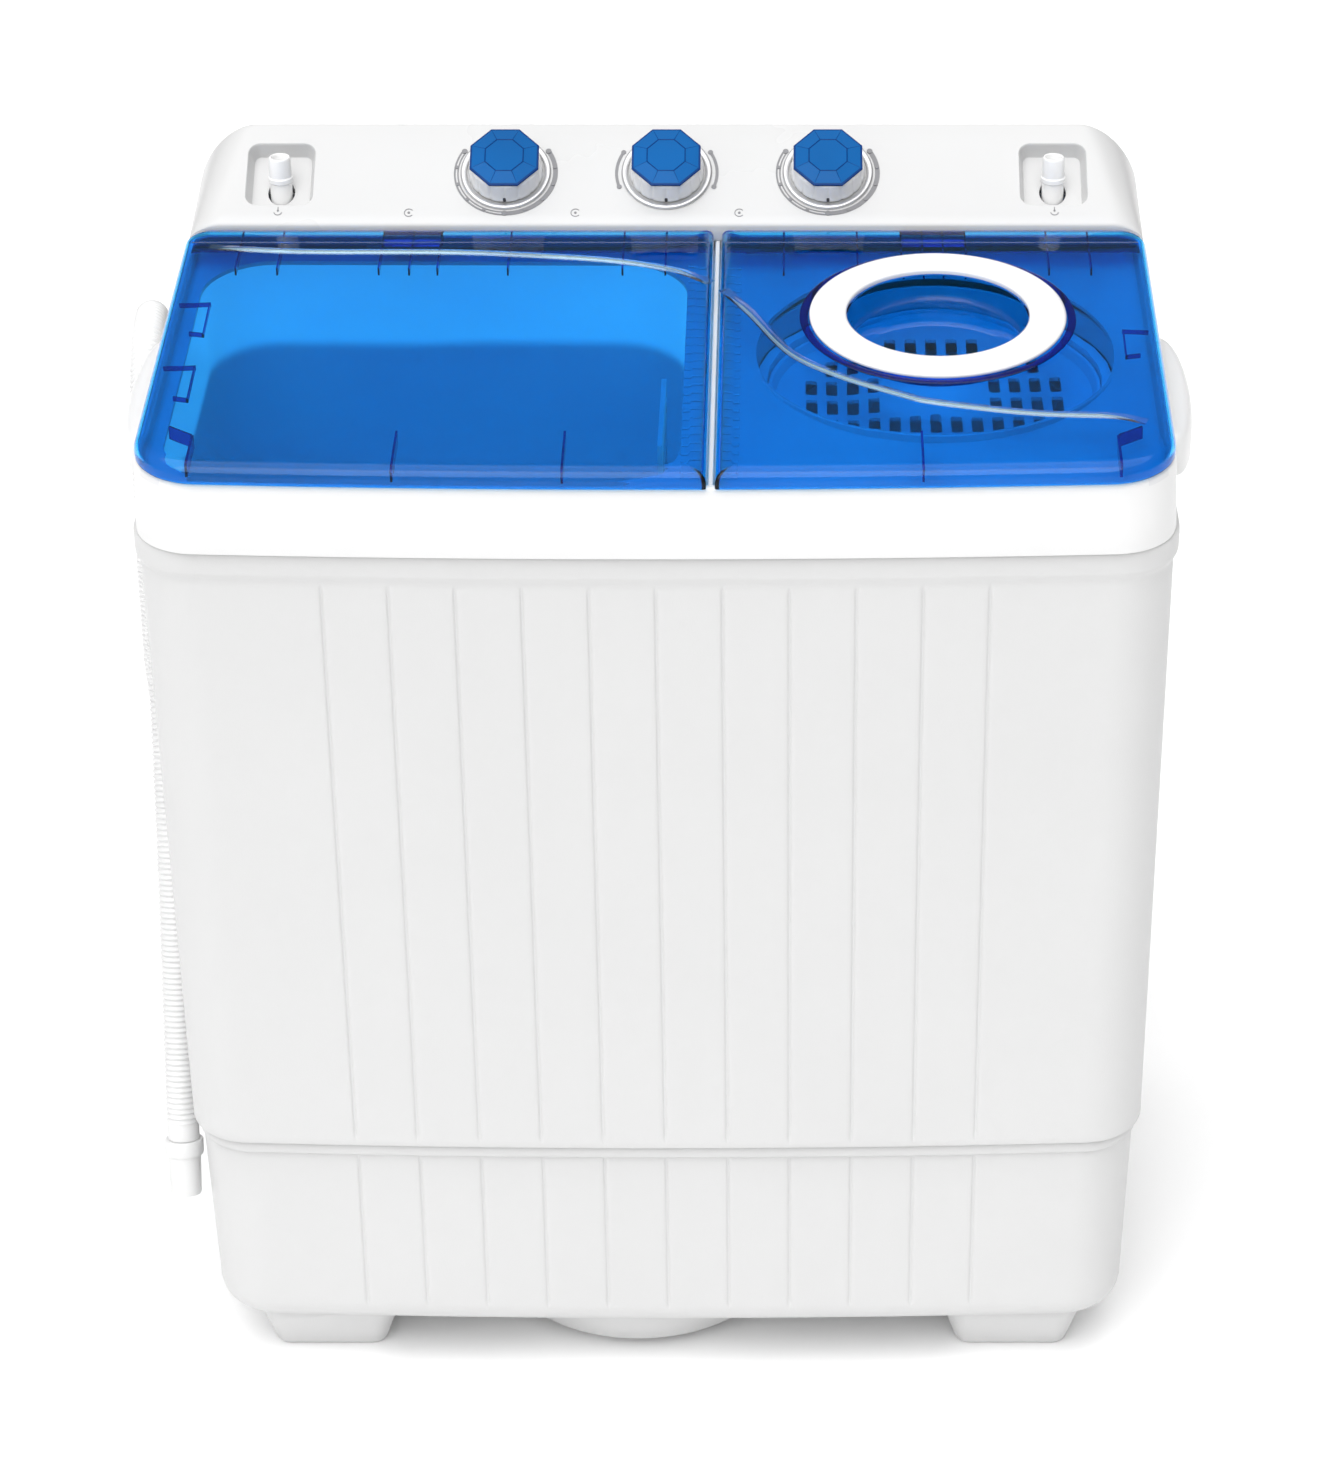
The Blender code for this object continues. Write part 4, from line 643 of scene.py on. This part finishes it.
def make_knob(k, label, dial):
    """One control: bezel, fluted grip with a pointer, faceted clear cap, and its printed dial."""
    place = panel_frame(k * KNOB_PITCH, KNOB_Y)
    ring = turned([(0.0335, 0.0004), (0.0335, 0.0016), (0.0330, 0.0023), (0.0322, 0.0026), (0.0300, 0.0024),
                   (0.0292, 0.0019), (0.0290, 0.0012), (0.0290, 0.0004)], ROUND)
    piece(f"{label}_bezel", moved(ring, place), SILVER, "body", [f"{label}_trim_ring"])
    r = KNOB_RADIUS
    flutes = 16

    def wave(a, row):
        depth = 0.018 if 4 <= row <= 9 else 0.0
        return 1.0 - depth * max(0.0, math.cos(flutes * a)) ** 6

    profile = [
        (0, -0.0118), (0.0030, -0.0118), (0.0030, 0.0012), (r - 0.0006, 0.0012), (r + 0.0003, 0.0020),
        (r + 0.0002, 0.0034), (r - 0.0006, 0.0085), (r - 0.0012, 0.0140), (r - 0.0015, 0.0162),
        (r - 0.0019, 0.0172), (r - 0.0030, 0.0179), (0, 0.0179),
    ]
    body = f"{label}_knob"
    piece(f"{label}_grip", moved(turned(profile, 192, wave=wave), place), KNOB, body,
          [f"{label}_knob"], 40)
    pointer = block((-0.0011, -r - 0.00055, 0.0022), (0.0011, -r + 0.0010, 0.0056), 0.0004, 1)
    piece(f"{label}_pointer", moved(pointer, place), DARK, body)
    c = CAP_RADIUS
    turn = Matrix.Rotation(math.pi / 8, 4, "Z")
    # the cap's rim is in the darker edge blue: painted shade on its bevel
    rim = turned([(0, 0.0183), (c - 0.0002, 0.0183), (c, 0.0188), (c - 0.0003, 0.0197), (c - 0.0014, 0.0200),
                  (0, 0.0200)], 8)
    piece(f"{label}_cap_rim", moved(rim, place @ turn), CAP_EDGE_SHADE, body, [f"{label}_knob_cap"],
          20)
    facets = turned([(0, 0.0201), (c - 0.0017, 0.0201), (c * 0.55, 0.0222), (c * 0.50, 0.0221), (0, 0.0225)],
                    8)
    piece(f"{label}_cap_facets", moved(facets, place @ turn), CAP_BLUE, body, sharp=8)
    # thin ridges in the darker edge blue along every facet edge: painted shade for the dark creases between
    # the facets
    lines = []
    for i in range(8):
        a, b = 2 * math.pi * i / 8, 2 * math.pi * (i + 1) / 8
        near, far = c * 0.55, c - 0.0020
        p = Vector((near * math.cos(a), near * math.sin(a), 0.0222))
        q = Vector((far * math.cos(a), far * math.sin(a), 0.0201))
        r2 = Vector((near * math.cos(b), near * math.sin(b), 0.0222))
        strand = [(-0.00022, 0.0), (0.00022, 0.0), (0.0, 0.00012)]
        lines.append(swept([p, p.lerp(q, 0.5), q], strand))
        lines.append(swept([p, p.lerp(r2, 0.5), r2], [(2 * u, w * 2) for u, w in strand]))
    piece(f"{label}_cap_shade_lines", moved(join(lines), place @ turn), CAP_EDGE_SHADE, body)
    marks, lift = [], PRINT_LIFT
    if dial == "timer":
        marks.append(arc_strip(0.0351, 0.0361, TIMER_START, TIMER_END, lift))
        marks.append(arc_strip(0.0373, 0.0386, TIMER_START, TIMER_END, lift))
        marks.append(arc_strip(0.0361, 0.0374, 268, TIMER_END, lift * 0.8))
        for i in range(11):
            a = math.radians(TIMER_START + (TIMER_END - TIMER_START) / 10 * i)
            marks.append(dot(0.0368 * math.cos(a), 0.0368 * math.sin(a),
                             0.0021 if i in (0, 5, 10) else 0.0014, lift * 1.6))
    else:
        for start, end in ((150, 200), (-20, 30)):
            marks.append(arc_strip(0.0362, 0.0384, start, end, lift))
            for a in (start, end):
                marks.append(dot(0.0373 * math.cos(math.radians(a)), 0.0373 * math.sin(math.radians(a)),
                                 0.0019, lift * 1.4))
    for i, bm in enumerate(marks):      # each mark a hair higher, so that no two tops coincide
        moved(bm, Matrix.Translation((0, 0, 0.00003 * i)))
    piece(f"{label}_dial_marks", moved(join(marks), place), PRINT, "body")


def make_icons():
    """Small generic signs: a drop under each inlet, and a plain round sign beside each knob."""
    marks = []
    for side in (-1, 1):
        place = panel_frame(side * INLET_X, 0.1497)
        marks.append(moved(arc_strip(0.0026, 0.0032, 190, 350, ICON_LIFT, 20), place))
        marks.append(moved(dot(0, 0.0010, 0.0008, ICON_LIFT), place))
        marks.append(moved(block((-0.0003, 0.0012, 0.00005), (0.0003, 0.0042, ICON_LIFT)), place))
    for x in (-0.190, -0.067, 0.054):
        place = panel_frame(x, 0.1490)
        marks.append(moved(arc_strip(0.0030, 0.0036, 40, 320, ICON_LIFT, 30), place))
        marks.append(moved(dot(0, 0, 0.0010, ICON_LIFT), place))
    piece("panel_icons", join(marks), PRINT, "body")


# ------------------------------------------------------------ lids
LID_TOP = 0.0050                # the lid's top face over the hinge line
SPLIT_LEFT, SPLIT_RIGHT = LID_SPLIT - LID_SPLIT_HALF, LID_SPLIT + LID_SPLIT_HALF


def lid_frame():
    """Matrix of the closed lids: the hinge line is its X axis, and Y runs back along the lid."""
    axis_z = tilted(LID_HEIGHT + SEAM_GAP)(HINGE_Y) - LID_TOP
    return Matrix.Translation((0, HINGE_Y, axis_z)) @ Matrix.Rotation(TILT, 4, "X")


def along_lid(y):
    """Place in the lid's own frame of a world y."""
    return (y - HINGE_Y) / math.cos(TILT)


def lid_shell(x0, x1, radii):
    """Open-bottomed lid with a rounded rim."""
    front = along_lid(LID_FRONT_Y)

    def loop(inset, z):
        return level(outline(x0, x1, front, 0.0040, radii, inset, True, None, 18), z)

    top = LID_TOP
    return loft([
        loop(0.0170, top - LID_WALL), loop(0.0090, top - LID_WALL - 0.0004),
        loop(0.0058, top - LID_WALL - 0.0016), loop(LID_WALL + 0.0014, top - 0.0055),
        loop(LID_WALL + 0.0006, top - 0.0080), loop(LID_WALL, top - LID_HEIGHT + 0.0005),
        loop(0.0020, top - LID_HEIGHT), loop(0.0006, top - LID_HEIGHT), loop(0.0, top - LID_HEIGHT + 0.0006),
        loop(0.0, top - 0.0080), loop(0.0006, top - 0.0058), loop(0.0020, top - 0.0034),
        loop(0.0042, top - 0.0015), loop(0.0075, top - 0.0004), loop(0.0110, top),
    ])


def plate(x0, y0, x1, y1, depth, thick=0.0013):
    """Upright rib under the lid between two plan points."""
    a, b = Vector((x0, along_lid(y0), 0)), Vector((x1, along_lid(y1), 0))
    side = (b - a).normalized().cross(Vector((0, 0, 1))) * thick / 2
    high = LID_TOP - LID_WALL - 0.0001
    corners = ((-1, high), (1, high), (1, high - depth), (-1, high - depth))
    return loft([[p + s * side + Vector((0, 0, z)) for s, z in corners] for p in (a, b)])


# plan points of the raised edge that sweeps over both lids, from the left
S_LINE_WASH = ((-0.332, 0.1015), (-0.265, 0.0945), (-0.156, 0.0935), (-0.083, 0.087), (-0.032, 0.079),
               (0.0085, 0.065), (0.034, 0.046))
S_LINE_SPIN = ((0.0425, 0.0365), (0.063, -0.0005), (0.0915, -0.059), (0.126, -0.092), (0.167, -0.1175),
               (0.187, -0.1275), (0.2345, -0.1395), (0.2685, -0.145), (0.3125, -0.148), (0.333, -0.156))


def step_line(line):
    """The raised edge on one lid: steep in front, running out behind."""
    pts = smooth_route([(x, along_lid(y), LID_TOP + 0.00006) for x, y in line], 0.004)
    last = len(pts) - 1

    def section(i):
        fade = max(0.12, min(1.0, i / 8, (last - i) / 8))
        h = 0.0019 * fade
        # a positive side lies in front of the line
        return [(0.0026, 0.0), (0.0019, h * 0.40), (0.0009, h * 0.84), (0.0, h), (-0.0012, h * 0.95),
                (-0.0024, h * 0.6), (-0.0040, h * 0.25), (-0.0058, 0.0)]

    return swept(pts, section)


def make_lids():
    """Both clear lids with their ribs, hinge blocks, raised edge, and the spin lid's ring and dish."""
    place = lid_frame()
    wash = lid_shell(-LID_HALF, SPLIT_LEFT, (0.048, 0.0015, 0.0015, 0.020))
    piece("wash_lid_shell", moved(wash, place), LID_BLUE, "wash_lid", ["wash_lid"], 40)
    centre = (SPIN_RING_CENTRE[0], along_lid(SPIN_RING_CENTRE[1]))
    spin = lid_shell(SPLIT_RIGHT, LID_HALF, (0.0015, 0.048, 0.020, 0.0015))
    port = drilled(0.0760, -0.05, 0.05, FINE, centre)
    piece("spin_lid_shell", moved(spin, place), LID_BLUE, "spin_lid", ["spin_lid"], 40,
          cuts=[moved(port, place)])
    piece("wash_lid_step", moved(step_line(S_LINE_WASH), place), STEP_BLUE, "wash_lid",
          sharp=60)
    piece("spin_lid_step", moved(step_line(S_LINE_SPIN), place), STEP_BLUE, "spin_lid",
          sharp=60)
    for name, body, rear, front, corner, tabs in (
        ("wash_lid_ribs", "wash_lid", (-0.310, -0.280, -0.2065, -0.1845, -0.1640, -0.113, -0.030, 0.001),
         (-0.175, -0.061), -0.3125, ((-0.3440, 0.0177, -0.3215, -0.027), (-0.3440, -0.075, -0.3215, -0.120))),
        ("spin_lid_ribs", "spin_lid", (0.087, 0.1405, 0.1725, 0.188, 0.203, 0.2195, 0.279, 0.3095), (0.1805,),
         0.3130, ((0.3440, -0.0226, 0.3255, -0.059),)),
    ):
        ribs = [plate(x, 0.131, x, 0.072, 0.0060) for x in rear]
        ribs += [plate(x, -0.164, x, -0.2165 + swell(x), 0.0090, 0.0016) for x in front]
        s = math.copysign(1, corner)
        ribs.append(plate(corner, -0.1700, corner, -0.2150 + swell(corner), 0.0090, 0.0018))
        ribs.append(plate(corner + s * 0.0008, -0.1692, corner + s * 0.0170, -0.1580, 0.0090, 0.0016))
        for x0, y0, x1, y1 in tabs:
            ribs.append(plate(x0, y0, x1, y0 + 0.0015, 0.0032, 0.0012))
            ribs.append(plate(x1 + s * 0.0008, y0 + 0.0005, x1 + s * 0.0004, y1, 0.0032, 0.0012))
            ribs.append(plate(x1 + s * 0.0012, y1 + 0.0008, x1 + s * 0.0105, y1 + 0.0030, 0.0032, 0.0012))
        piece(name, moved(join(ribs), place), RIB_BLUE, body)
    for name, body, x0, x1 in (("wash_lid_crease", "wash_lid", -0.3460, 0.0335),
                               ("spin_lid_crease", "spin_lid", 0.0430, 0.3460)):
        line = [Vector((x0 + (x1 - x0) * i / 40, along_lid(0.1100), LID_TOP + 0.00006)) for i in range(41)]
        ridge = swept(line, [(0.0008, 0.0), (0.0, 0.0006), (-0.0008, 0.0)])
        piece(name, moved(ridge, place), RIB_BLUE, body)
    for name, body, x0, x1 in (("wash_hinge_block", "wash_lid", -0.2075, -0.1630),
                               ("spin_hinge_block", "spin_lid", 0.1720, 0.2200)):
        slab = block((x0, -0.0160, LID_TOP - LID_WALL - 0.0062), (x1, -0.0012, LID_TOP - LID_WALL - 0.0002),
                     0.0012)
        piece(name, moved(slab, place), RIB_BLUE, body)
    for name, body, x0, x1 in (("wash_lid_rear_band", "wash_lid", -0.3480, 0.0320),
                               ("spin_lid_rear_band", "spin_lid", 0.0440, 0.3480)):
        high = LID_TOP - LID_WALL - 0.0066
        band = block((x0, along_lid(0.1105), high - 0.0012), (x1, along_lid(0.1350), high), 0.0003)
        piece(name, moved(band, place), BAND_BLUE, body)
    ring = turned([
        (0.0652, 0.0056), (0.0900, 0.0056), (0.0908, 0.0064), (0.0911, 0.0080), (0.0904, 0.0092),
        (0.0885, 0.0105), (0.0850, 0.0115), (0.0800, 0.0121), (0.0750, 0.0122), (0.0705, 0.0119),
        (0.0672, 0.0111), (0.0652, 0.0098), (0.0645, 0.0083),
    ], FINE, centre)
    piece("spin_lid_grip_ring", moved(ring, place), RING, "spin_lid", ["spin_lid_ring"], 60)
    collar = turned([(0.0920, 0.00505), (0.0975, 0.00505), (0.0978, 0.0056), (0.0960, 0.0062),
                     (0.0922, 0.0060)], FINE, centre)
    piece("spin_lid_collar", moved(collar, place), RIB_BLUE, "spin_lid", sharp=50)
    cup = turned([
        (0, -0.0160), (0.0600, -0.0160), (0.0640, -0.0158), (0.0672, -0.0145), (0.0690, -0.0120),
        (0.0740, 0.0052), (0.0640, 0.0052), (0.0622, -0.0100), (0.0610, -0.0122), (0.0580, -0.0134),
        (0.0400, -0.0131), (0, -0.0125),
    ], FINE, centre)
    piece("spin_lid_dish", moved(cup, place), WINDOW_BLUE, "spin_lid", ["spin_lid_window"], 50)


# ------------------------------------------------------------ tubs
def make_tubs():
    """The wash tub, and the slotted cover in the spin mouth."""
    drop = -DECK_DROP - WALL - SEAM_GAP
    floor = WASH_FLOOR_Z

    def loop(inset, z, corner=0.050):
        return level(outline(*WASH_X, *WASH_Y, (corner,) * 4, inset, steps=14), z)

    loops = [
        loop(0.0450, floor, 0.110), loop(0.0320, floor + 0.003, 0.098), loop(0.0230, floor + 0.010, 0.090),
        loop(0.0185, floor + 0.022, 0.081), loop(0.0160, floor + 0.040, 0.074),
        loop(0.0, tilted(drop), 0.050), loop(-0.0100, tilted(drop), 0.050),
        loop(-0.0100, tilted(drop - 0.003), 0.050), loop(-0.0030, tilted(drop - 0.003), 0.050),
        loop(0.0130, floor + 0.040, 0.074), loop(0.0155, floor + 0.020, 0.081),
        loop(0.0200, floor + 0.008, 0.090), loop(0.0300, floor, 0.098), loop(0.0430, floor - 0.003, 0.110),
    ]
    holes = [drilled(r, floor - 0.02, floor + 0.02, SMALL, centre)      # for the shaft and the drain
             for r, centre in ((0.0120, (-0.1595, -0.0375)), (0.0140, (-0.262, 0.052)))]
    # painted shadow of the mouth's front edge on the tub walls below z 0.709, and a painted emissive glowing
    # on the walls above z 0.720 for light let in through the lid
    painted_shadow_and_glow(TUB_INSIDE, 0.720, 0.709, (0.74, 0.76, 0.78))
    piece("wash_tub_shell", loft(loops), TUB_INSIDE, "body", ["wash_tub"], 50, cuts=holes)
    z, r = SPIN_NECK_Z - 0.0155, COVER_RADIUS
    profile = [
        (0, z), (r - 0.006, z), (r, z + 0.002), (r, z + 0.0095), (r - 0.0005, z + 0.0105),
        (r - 0.0024, z + 0.0105), (r - 0.0034, z + 0.0098), (r - 0.0060, z + 0.0042),
        (r - 0.0100, z + 0.0028), (0.0950, z + 0.0025), (0.0420, z + 0.0025), (0.0370, z + 0.0036),
        (0.0300, z + 0.0078), (0.0220, z + 0.0106), (0.0120, z + 0.0125), (0, z + 0.0130),
    ]
    slots = []
    for i in range(-6, 7):
        for j in range(-4, 5):
            x, y = i * SLOT_PITCH[0], (j + 0.5) * SLOT_PITCH[1]
            if SLOT_NEAR < math.hypot(x, y) and math.hypot(abs(x) + 0.004, abs(y) + 0.010) < SLOT_FAR:
                sx, sy = SPIN_CENTRE[0] + x, SPIN_CENTRE[1] + y
                hx, hy = SLOT_HALF
                pts = outline(sx - hx, sx + hx, sy - hy, sy + hy, (0.0018,) * 4, steps=3)
                slots.append(loft([level(pts, z - 0.01), level(pts, z + 0.02)]))
    cover = turned(profile, FINE, SPIN_CENTRE)
    piece("spin_cover_grid", cover, TUB, "spin_inner_cover", ["spin_inner_cover"], 40,
          cuts=[join(slots)])


# ------------------------------------------------------------ hose
def make_hose():
    """Corrugated drain hose with plain ends and its cuff."""
    path = smooth_route(HOSE_ROUTE, 0.00105)
    for p in path:
        p.x = max(p.x, cad_low.x + HOSE_RADIUS)
    outer, inner = HOSE_RADIUS - 0.0001, HOSE_RADIUS - 0.0017
    waves = (inner, (inner * 0.4 + outer * 0.6), outer, (inner * 0.4 + outer * 0.6))
    last = len(path) - 1
    angles = [2 * math.pi * k / 20 for k in range(20)]

    def section(i):
        plain = i < 14 or i > last - 14
        r = outer - 0.0006 if plain else waves[i % 4]
        return [(r * math.cos(a), r * math.sin(a)) for a in angles]

    tube = swept(path, section, up=Vector((0, 1, 0)), turns=True)
    hose = piece("corrugated_hose", tube, HOSE, "body", ["drain_hose"], 60)
    end = path[-1]
    heading = (path[-1] - path[-4]).normalized()
    cuff = turned([
        (0, 0.0004), (0.0140, 0.0004), (0.0145, 0.0012), (0.0145, 0.0110), (0.0139, 0.0124), (0.0125, 0.0136),
        (0.0121, 0.0160), (0.0117, 0.0420), (0.0113, 0.0436), (0.0100, 0.0436), (0.0095, 0.0425),
        (0.0095, 0.0060), (0, 0.0060),
    ], 48)
    turn = heading.to_track_quat("Z", "Y").to_matrix().to_4x4()
    cuff_piece = piece("hose_cuff", moved(cuff, Matrix.Translation(end) @ turn), HOSE, "body",
                       ["hose_end_cuff"])


# ------------------------------------------------------------ studio
SKY_TOWARD, SKY_LOW, SKY_HIGH = (-0.30, -0.60, 0.74), 0.17, 1.0
# name, energy, angle in degrees, where it shines from; only the back one is kept out of reflections
SUNS = (("key", 1.9, 55, (-0.16, -0.66, 1.0)), ("top", 1.1, 70, (0.0, 0.1, 1.0)),
        ("back", 0.45, 80, (0.25, 1.0, 0.24)))


def make_stage():
    """Pale floor, three wide suns, and a sky that is brightest on the left in front."""
    corners = ((-14, -8), (14, -8), (14, 14), (-14, 14))
    slab = loft([[Vector((x, y, z)) for x, y in corners] for z in (-0.02, 0.0)])
    floor = mesh_object("floor", slab, material("floor_pale", (0.93, 0.93, 0.93), 0.6, vary=0.0, bump=0.0))
    world = bpy.data.worlds.new("studio")
    bpy.context.scene.world = world
    world.use_nodes = True
    nodes, links = world.node_tree.nodes, world.node_tree.links
    soft_sky = nodes["Background"]
    soft_sky.inputs["Color"].default_value = (1, 1, 1, 1)
    way = nodes.new("ShaderNodeTexCoord")
    facing = nodes.new("ShaderNodeVectorMath")
    facing.operation = "DOT_PRODUCT"
    facing.inputs[1].default_value = Vector(SKY_TOWARD).normalized()
    links.new(way.outputs["Generated"], facing.inputs[0])
    bright = nodes.new("ShaderNodeMapRange")
    bright.inputs["From Min"].default_value = 0.0
    bright.inputs["From Max"].default_value = 0.9
    bright.inputs["To Min"].default_value = SKY_LOW
    bright.inputs["To Max"].default_value = SKY_HIGH
    links.new(facing.outputs["Value"], bright.inputs["Value"])
    links.new(bright.outputs["Result"], soft_sky.inputs["Strength"])
    backdrop = nodes.new("ShaderNodeBackground")
    backdrop.inputs["Color"].default_value = (1, 1, 1, 1)
    backdrop.inputs["Strength"].default_value = 1.0
    seen = nodes.new("ShaderNodeLightPath")
    pick = nodes.new("ShaderNodeMixShader")
    links.new(seen.outputs["Is Camera Ray"], pick.inputs["Fac"])
    links.new(soft_sky.outputs["Background"], pick.inputs[1])
    links.new(backdrop.outputs["Background"], pick.inputs[2])
    links.new(pick.outputs["Shader"], nodes["World Output"].inputs["Surface"])
    for name, energy, angle, toward in SUNS:
        sun = bpy.data.lights.new(name, "SUN")
        sun.energy, sun.angle = energy, math.radians(angle)
        lamp = bpy.data.objects.new(name, sun)
        lamp.rotation_euler = Vector(toward).to_track_quat("Z", "Y").to_euler()
        lamp.visible_glossy = name != "back"
        bpy.context.scene.collection.objects.link(lamp)
    bpy.context.scene.view_settings.view_transform = "Standard"


CAMERA_PLACE, CAMERA_DIP, CAMERA_LENS, CAMERA_SHIFT = (0.0899, -2.7067, 2.0360), 30.49, 101.85, -0.0866


def make_camera():
    """Camera in front and above, looking down by the dip in degrees."""
    lens = bpy.data.cameras.new("camera")
    lens.sensor_fit = "AUTO"
    lens.sensor_width = 36.0
    lens.lens = CAMERA_LENS
    lens.shift_x = CAMERA_SHIFT
    camera = bpy.data.objects.new("camera", lens)
    camera.location = CAMERA_PLACE
    camera.rotation_euler = (math.radians(90.0 - CAMERA_DIP), 0.0, 0.0)
    bpy.context.scene.collection.objects.link(camera)
    bpy.context.scene.camera = camera


make_camera()
make_hose()
make_cabinet()
make_base()
make_collar()
make_handle("left_grip_cup", "side_handle_left", -1)
make_handle("right_grip_cup", "side_handle_right", 1)
make_panel()
make_knob(-1, "wash_timer", "timer")
make_knob(0, "wash_selector", "selector")
make_knob(1, "spin_timer", "timer")
make_icons()
make_lids()
make_tubs()
make_stage()
